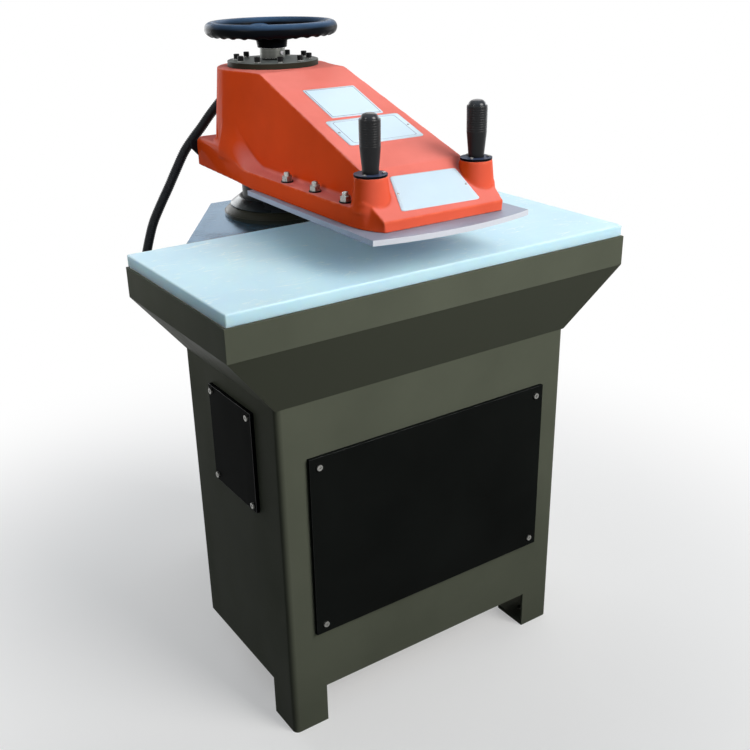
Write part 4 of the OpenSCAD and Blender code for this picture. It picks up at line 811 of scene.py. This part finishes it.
casting_parts = [
    loft_part(sections(wedge_y, wedge_half, wedge_z)),
    loft_part(sections(skirt_y, np.stack([skirt_half(skirt_y), ridge_half(skirt_y)], 1), skirt_z)),
    loft_part(sections(tail_y, tail_half, tail_z)),
]
print("casting: wedge, skirt and tail lofted")

# %% [markdown]
# The boss is a polar surface: a radius for each angle and height. At the front its wall runs out in
# the trumpet, over the tail it is plain, and the skirt's edge cuts it softly. The lugs are lathes.

# %% Boss and lugs
SOFT_EDGE, REACH, LEVEL_POWER = 22.0, np.linspace(0, 320, 1281), 1.6
SEAM_WIDE, SEAM_TALL, FADE = 7, 10, 6
BULGE, BULGE_FROM, BULGE_OVER = 4.0, 70, 80
LUG_SINK, LUG_SEAM_WIDE = 8, 2


def boss_rings(turns=192, levels=48):
    """Rings of the boss: the lesser of the wall's radius and the skirt's edge, with a soft change-over."""
    a = circle(turns)
    x, y = np.outer(np.cos(a), REACH), np.outer(np.sin(a), REACH)
    inside = (np.abs(x) <= skirt_half(y)) & (y <= TAIL_Y)
    edge = np.where(inside, REACH, 0).max(1)
    rise = np.linspace(0, 1, levels) ** LEVEL_POWER
    z = np.concatenate([[FLOOR_Z], LEDGE_Z + (TOP_Z - LEDGE_Z) * rise])
    plain = BOSS_R + LEAN * (TOP_Z - z) + SEAM_WIDE * np.clip(1 - (z - TAIL_Z) / SEAM_TALL, 0, 1) ** 2
    front = np.clip((TAIL_FRONT_Y - SKIRT_X * np.sin(a)) / FADE + 0.5, 0, 1)[None]
    flared = front * drafted_half(z, BOSS_R, TRUMPET_R)[:, None] + (1 - front) * plain[:, None]
    swell = BULGE * np.clip((SKIRT_X * np.sin(a) + BULGE_FROM) / BULGE_OVER, 0, 1) * front
    edge = edge[None] + swell * np.clip((z[:, None] - LEDGE_Z) / FADE, 0, 1)
    near = np.clip(0.5 + 0.5 * (edge - flared) / SOFT_EDGE, 0, 1)
    r = near * flared + (1 - near) * edge - SOFT_EDGE * near * (1 - near)
    return polar(r, a, z[:, None])


lug_z = LEDGE_Z - LUG_SINK + (LUG_Z - LEDGE_Z + LUG_SINK) * np.linspace(0, 1, 20)
lug_seam = LUG_SEAM_WIDE * np.clip(1 - (lug_z - LEDGE_Z) / FADE, 0, 1) ** 2
lug_r = LUG_R + LEAN * (LUG_Z - lug_z) + lug_seam
lug_profile = np.concatenate([[[0, lug_z[0]]], np.stack([lug_r, lug_z], 1), [[0, LUG_Z]]])
casting_parts.append(loft_part(boss_rings()))
for side in (-1, 1):
    casting_parts.append(lathe_part(lug_profile, (side * HANDLE_X, HANDLE_Y, 0), 72))

# %% [markdown]
# Remesh and smoothing make one skin. How sharply it bends at each corner is stored for the paint,
# and a decimate modifier takes out faces that the flat parts don't need.

# %% Casting skin
VOXEL, SMOOTH_STEPS, KEPT_SHARE = 2.2 * MM, 3, 0.5
BEND_UNIT = 0.12 * VOXEL
casting = shape("arm_casting_skin", [(p * MM + AXIS_AT, q) for p, q in casting_parts])
melt = casting.modifiers.new("melt", "REMESH")
melt.mode, melt.voxel_size, melt.use_smooth_shade = "VOXEL", VOXEL, True
rub = casting.modifiers.new("rub", "SMOOTH")
rub.factor, rub.iterations = 0.5, SMOOTH_STEPS
melted = bpy.data.meshes.new_from_object(casting.evaluated_get(bpy.context.evaluated_depsgraph_get()))
casting.modifiers.clear()
casting.data = melted


def bend_attribute(mesh, passes=4):
    """How far each corner stands out from the middle of its neighbours, along its normal: + on edges."""
    count = len(mesh.vertices)
    at, normal = np.zeros(count * 3), np.zeros(count * 3)
    ends = np.zeros(len(mesh.edges) * 2, int)
    mesh.vertices.foreach_get("co", at)
    mesh.vertices.foreach_get("normal", normal)
    mesh.edges.foreach_get("vertices", ends)
    at, normal, ends = at.reshape(-1, 3), normal.reshape(-1, 3), ends.reshape(-1, 2)
    degree = np.bincount(ends.ravel(), minlength=count)[:, None]

    def around(values):
        total = np.zeros_like(values)
        np.add.at(total, ends[:, 0], values[ends[:, 1]])
        np.add.at(total, ends[:, 1], values[ends[:, 0]])
        return total / np.maximum(degree, 1)

    bend = ((at - around(at)) * normal).sum(1, keepdims=True) / BEND_UNIT
    for _ in range(passes):
        bend = 0.5 * bend + 0.5 * around(bend)
    stored = mesh.attributes.new("bend", "FLOAT", "POINT")
    stored.data.foreach_set("value", bend[:, 0].astype(np.float32))
    return float(bend.min()), float(bend.max())


print("casting:", len(casting.data.polygons), "faces, bend from %.2f to %.2f" % bend_attribute(casting.data))
thin_out = casting.modifiers.new("thin_out", "DECIMATE")
thin_out.ratio = KEPT_SHARE
dress(casting, "orange_paint", "arm", "orange_paint", "arm_casting")

# %% [markdown]
# ## Plates on the arm
# Three thin plates lie on the arm's top and slope, and two of them are riveted. They are left bare. A
# plate is a patch between four corners, with its own corners rounded: points on a rounded square
# are drawn in towards the middle in rings, and a lip of about a millimetre gives the edge its
# thickness. Two of the plates have a thin line round them. Rivets are small domes.

# %% Bare plates
PLATE_THICK, RIVET_LIFT, CORNER_STEPS, INNER_RINGS, LINE_ROW = 0.0012, 0.0010, 10, 8, 3


def rounded_square(corner):
    """Outline of a unit square, -1 to 1, whose corners are quarter circles."""
    a = np.linspace(0, np.pi / 2, CORNER_STEPS)
    turn = np.concatenate([a + k * np.pi / 2 for k in range(4)])
    centre = np.repeat([(1, 1), (-1, 1), (-1, -1), (1, -1)], CORNER_STEPS, 0) * (1 - corner)
    return centre + corner * np.stack([np.cos(turn), np.sin(turn)], 1)


def plate_part(corners, line_rings, corner):
    """Patch between four corners: a mix of them by (1+u)/2 and (1+v)/2, lifted along the plane's normal."""
    c = np.array(corners) * MM
    normal = unit(np.cross(c[1] - c[0], c[3] - c[0]))
    normal = normal if normal[2] > 0 else -normal
    outline = rounded_square(corner)
    inward = np.concatenate([[1.0, 1.0, 0.997], line_rings, np.linspace(0.8, 0.0, INNER_RINGS)])
    lift = np.concatenate([[-0.4, 0.75, 1.0], np.ones(2 + INNER_RINGS)]) * PLATE_THICK
    u, v = ((1 + inward[:, None] * outline[None, :, k]) / 2 for k in range(2))
    u, v = u[..., None], v[..., None]
    flat = (1 - u) * (1 - v) * c[0] + u * (1 - v) * c[1] + u * v * c[2] + (1 - u) * v * c[3]
    return grid_part(flat + lift[:, None, None] * normal, wrap_cols=True), normal


def stub_part(centre, normal, profile, turns=24):
    """A small lathe that stands on a slope: rings of (radius, height) about the slope's normal."""
    r, h = (np.asarray(profile, float)[:, k, None, None] * MM for k in range(2))
    a = circle(turns)[None, :, None]
    e = unit(np.cross(normal, [0.0, 1.0, 0.2]))
    f = np.cross(normal, e)
    rings = np.asarray(centre) + r * (np.cos(a) * e + np.sin(a) * f) + h * normal
    return grid_part(rings, wrap_cols=True)


def on_slope(x, y):
    """Height of the arm's sloping top at a place given in the frame."""
    return x, y, float(top_height(y - AXIS[1] / MM))


quarter = np.linspace(0, np.pi / 2, 7)
RIVET = np.stack([2.6 * np.cos(quarter), 1.5 * np.sin(quarter)], 1)
rivet_parts = []
for name, outline, line_rings, corner, rivet_places in (
    ("sign_plate", [(-55.5, -79.5), (61.5, -82), (67, 33.5), (-52.5, 34.2)], (0.945, 0.92), 0.04, ()),
    ("data_plate", [(-80.5, -180.5), (88, -181), (88, -90), (-78.5, -90)], (0.86, 0.845), 0.1,
     [(-74.5, -134.3), (81.5, -136.4)]),
    ("nose_plate", [(-86.5, -350), (86.5, -353), (80, -286), (-65, -282.5)], (0.9, 0.85), 0.1,
     [(-71, -317.2), (78, -321.1)]),
):
    part, normal = plate_part([on_slope(x, y) for x, y in outline], line_rings, corner)
    plate = shape(name, [part])
    plate.data.materials.append(finish["plate_white"])
    if name != "nose_plate":
        plate.data.materials.append(finish["plate_line"])
        row = np.arange(len(plate.data.polygons)) // (4 * CORNER_STEPS)
        plate.data.polygons.foreach_set("material_index", (row == LINE_ROW).astype(np.int32))
    fit(plate, "arm", "board_plastic")
    for x, y in rivet_places:
        foot = np.array(on_slope(x, y)) * MM + RIVET_LIFT * normal
        rivet_parts.append(stub_part(foot, normal, RIVET))
rivets = shape("plate_rivets", rivet_parts)
dress(rivets, "bright_fastener", "arm", "bright_fastener")

# %% [markdown]
# ## The handwheel
# Turning the wheel sets the arm's height. It is a dished plastic wheel: a thick rim with finger
# swells underneath, three broad spokes that climb from the hub to the rim, and a plain hub. The rim
# is a ring whose section grows and shrinks with the angle, and a spoke is a flattened tube.

# %% Handwheel
wheel_lo, wheel_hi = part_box("handwheel")
RIM_HALF = 14 * MM
WHEEL_R = (wheel_hi.x - wheel_lo.x) / 2
RIM_R, RIM_Z, HUB_Z = WHEEL_R - RIM_HALF, wheel_hi.z - RIM_HALF, wheel_lo.z
SWELLS, SWELL_RISE, SWELL_SINK = 30, 0.16, 0.05
SPOKES, SPOKE_FROM, SPOKE_LEN, SPOKE_DROP, SPOKE_RISE = (76, 196, 316), 0.026, 0.094, 0.0195, 0.0165
SCREW_TURN, SCREW_OUT = math.radians(288), 26.6 * MM


def rim_points(turns=432, around=32):
    """A ring: radius R + r cos b, height r sin b, and r swells with cos(30 a) on the underside only."""
    a, b = np.meshgrid(circle(turns), circle(around), indexing="ij")
    under = np.clip(-np.sin(b), 0, None)
    bump = (0.5 + 0.5 * np.cos(SWELLS * a)) ** 2
    tall = RIM_HALF * (1 + under * (SWELL_RISE * bump - SWELL_SINK))
    out = RIM_R + RIM_HALF * np.cos(b)
    return polar(out, a, RIM_Z + tall * np.sin(b))


def spoke_rings(angle, steps=28, around=28):
    """A flattened tube from hub to rim: wide across, thin upright, rising and widening to the rim."""
    t = np.linspace(0, 1, steps)[:, None]
    b = circle(around)[None]
    out = (SPOKE_FROM + SPOKE_LEN * t) + 0 * b
    wide = (15 + 3 * t + 11 * t ** 6 + 8 * (1 - t) ** 5) * MM
    thick = (6.5 - 1.2 * t + 2.0 * t ** 8) * MM
    across = wide * squared(np.cos(b), 0.8)
    up = RIM_Z - SPOKE_DROP + SPOKE_RISE * t ** 1.15 + thick * np.sin(b)
    c, s = math.cos(angle), math.sin(angle)
    return np.stack([out * c - across * s, out * s + across * c, up], -1)


hub_profile = np.array([
    (14, 0), (30.4, 0), (31.3, 0.5), (31.7, 2), (33.2, 13), (35, 15.5), (38.5, 17), (44, 17.6),
    (47, 19), (48, 22.5), (47, 26.5), (43, 28), (38, 28.5), (35, 29.5), (33.5, 31.5), (32, 32.5),
    (18, 32.5), (16, 31.9), (14, 30.5),
]) * MM + np.array([0, HUB_Z])
wheel_parts = [
    grid_part(rim_points(), wrap_rows=True, wrap_cols=True),
    lathe_part(hub_profile, (0, 0, 0), 96, ring=True),
]
wheel_parts += [loft_part(spoke_rings(math.radians(deg))) for deg in SPOKES]
wheel = shape("dished_handwheel", [(p + AXIS_AT, q) for p, q in wheel_parts])
sharpen(wheel, 50)
dress(wheel, "wheel_plastic", "wheel", "wheel_plastic", "handwheel")

steel_lo, steel_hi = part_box("wheel_collar")
screw_out = np.array([math.cos(SCREW_TURN), math.sin(SCREW_TURN), 0.0])
screw_foot = AXIS_AT + SCREW_OUT * screw_out + np.array([0, 0, (steel_lo.z + steel_hi.z) / 2])
SET_SCREW = [(4.4, -0.5), (4.4, 1.6), (3.9, 2.1), (2.5, 2.1), (2.3, 0.6), (0, 0.4)]
set_screw = shape("collar_set_screw", [stub_part(screw_foot, screw_out, SET_SCREW, 36)])
sharpen(set_screw, 40)
dress(set_screw, "steel_edge", "wheel", "machined_steel")

# %% [markdown]
# ## Handles
# Each handle is a moulded grip with rings for the fingers, and a domed button on top. Pressing both
# buttons drops the arm. Grips and buttons are lathes: a row of radii, a row of heights, one turn.

# %% Grips and buttons
grip_lo, grip_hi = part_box("grips")
GRIP_LEN = (grip_hi.z - grip_lo.z) / MM
RIBS, RIBBED_FROM, RIBBED_TO, GROOVE_DEPTH = 10, 0.5, 0.96, 0.3
BORE_R, SEAT_R, SEAT_Z = 9, 16.7, GRIP_LEN - 13.8
BUTTON_R, DOME_TALL = 16.5, 10.5
share = np.linspace(0, 1, 260)
ribbed = (share > RIBBED_FROM) & (share < RIBBED_TO)
ribs = np.sin(np.pi * RIBS * (share - RIBBED_FROM) / (RIBBED_TO - RIBBED_FROM))
grip_r = np.interp(share, [0, 0.1, 0.5, 0.96, 0.985, 1], [14.6, 15.1, 18.7, 19.2, 19.0, 18.4])
grip_r = grip_r - np.where(ribbed, GROOVE_DEPTH * np.abs(ribs) ** 6, 0)
grip_profile = np.concatenate([
    [[BORE_R, 0]], np.stack([grip_r, share * GRIP_LEN], 1),
    [[SEAT_R, GRIP_LEN], [SEAT_R, SEAT_Z], [BORE_R, SEAT_Z]],
])
grip_places = [(side * HANDLE_X * MM, AXIS[1] + HANDLE_Y * MM, grip_lo.z) for side in (-1, 1)]
grips = shape("ribbed_grips", [lathe_part(grip_profile * MM, place, 72, ring=True) for place in grip_places])
dress(grips, "black_plastic", "arm", "black_plastic", "grips")

for node, place in zip(("left_button", "right_button"), grip_places):
    button_lo, button_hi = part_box(node)
    tall = (button_hi.z - button_lo.z) / MM
    t = np.linspace(0, np.pi / 2, 24)
    dome = np.stack([BUTTON_R * np.cos(t) ** 0.75, tall - DOME_TALL + DOME_TALL * np.sin(t) ** 1.1], 1)
    profile = np.concatenate([[[0, 0], [BUTTON_R - 0.5, 0], [BUTTON_R, 0.6]], dome])
    button = shape(node + "_dome", [lathe_part(profile * MM, (*place[:2], button_lo.z), 72)])
    sharpen(button, 60)
    dress(button, "button_plastic", node, "black_plastic", node)

# %% [markdown]
# ## Studio
# The press stands on a pale floor under large soft lamps, with a white background. The camera and
# the mirror rays see a white world, while the diffuse light comes from lamps and a dimmer world, so
# the white behind the press doesn't wash out its colours. The floor fades to white away from the
# press, and keeps the soft shadow near it.

# %% World and floor
WHITE, PALE_SKY, WORLD_LIGHT = (1.0, 1.0, 1.0, 1.0), (0.90, 0.96, 1.0, 1.0), 0.045
FLOOR_HALF, FADE_FROM, FADE_TO, FADE_LEAST = 14.0, 0.6, 1.7, 0.35
FLOOR_LIT, FLOOR_SHOWN = (0.09, 0.09, 0.09, 1.0), (0.86, 0.86, 0.86, 1.0)


def seen_rays(beside):
    """1 for the rays that the eye follows: straight ones, mirrored ones and those through glass."""
    rays = add(beside, "LightPath").outputs
    seen = combine("MAXIMUM", rays["Is Camera Ray"], rays["Is Glossy Ray"])
    return combine("MAXIMUM", seen, rays["Is Transmission Ray"])


scene = bpy.context.scene
scene.view_settings.view_transform = "Standard"
world = bpy.data.worlds.new("studio_world")
scene.world = world
world.use_nodes = True
sky = world.node_tree
sky.nodes.clear()
dim = add(sky, "Background", {"Color": PALE_SKY, "Strength": WORLD_LIGHT}).outputs[0]
white = add(sky, "Background", {"Color": WHITE, "Strength": 1.0}).outputs[0]
either = add(sky, "MixShader", {0: seen_rays(sky), 1: dim, 2: white}).outputs[0]
add(sky, "OutputWorld", {"Surface": either})

floor_line = np.linspace(-FLOOR_HALF, FLOOR_HALF, 29)
floor_x, floor_y = np.meshgrid(floor_line, floor_line, indexing="ij")
floor_piece = shape("studio_floor", [grid_part(np.stack([floor_x, floor_y, 0 * floor_x], -1))])
if floor_piece.data.polygons[0].normal.z < 0:
    floor_piece.data.flip_normals()

floor_shader, floor_at = start("studio_floor", 0.9, shine=0.0)
floor_tree = floor_shader.id_data
distance = add(floor_at, "VectorMath", {0: floor_at}, operation="LENGTH").outputs["Value"]
faded = add(distance, "MapRange", {
    "Value": distance, "From Min": FADE_FROM, "From Max": FADE_TO, "To Min": FADE_LEAST, "To Max": 1.0,
}, interpolation_type="SMOOTHSTEP").outputs[0]
shown = seen_rays(floor_at)
floor_tree.links.new(mix(shown, FLOOR_LIT, FLOOR_SHOWN), floor_shader.inputs["Base Color"])
fade = combine("MULTIPLY", faded, shown)
glow = add(fade, "Emission", {"Color": WHITE, "Strength": 1.0}).outputs[0]
mixed = add(fade, "MixShader", {0: fade, 1: floor_shader.outputs[0], 2: glow}).outputs[0]
floor_tree.links.new(mixed, floor_tree.nodes["Material Output"].inputs["Surface"])
floor_piece.data.materials.append(finish["studio_floor"])
print("floor and world ready")


# %% Lamps
def soft_lamp(name, at, towards, size, watts, tint, beam=180.0):
    """A square area lamp: its -Z axis looks from its place towards a point, its beam narrows the light."""
    data = bpy.data.lights.new(name, "AREA")
    data.shape, data.size, data.energy, data.color = "SQUARE", size, watts, tint
    data.spread = math.radians(beam)
    back = unit(np.array(at, float) - np.array(towards, float))
    side = unit(np.cross([0.0, 0.0, 1.0], back) + np.array([1e-6, 0, 0]))
    stand(new_object(name, data), side, np.cross(back, side), back, at)


soft_lamp("key_lamp", (1.05, -2.45, 2.5), (0.1, -0.25, 1.2), 2.0, 20.3, (1.0, 0.98, 0.95), beam=62)
soft_lamp("sky_lamp", (-0.3, -0.6, 3.7), (-0.3, -0.6, 0.0), 4.0, 29.5, (0.80, 0.91, 1.0))
soft_lamp("gloss_lamp", (1.6, 1.7, 3.05), (0.0, 0.0, 1.17), 1.5, 14, (1.0, 0.97, 0.96))
soft_lamp("left_fill_lamp", (-2.0, -0.3, 2.1), (-0.1, 0.1, 1.17), 0.7, 0.85, (1.0, 0.98, 0.96), beam=28)
soft_lamp("right_lamp", (2.9, 0.4, 1.4), (0.2, 0.0, 0.6), 1.8, 26, (0.98, 0.99, 1.0))
soft_lamp("back_lamp", (-0.4, 3.0, 1.4), (0.0, 0.2, 0.6), 1.8, 40, (0.96, 0.98, 1.0))
print("lamps ready")

# %% Last update
bpy.context.view_layer.update()
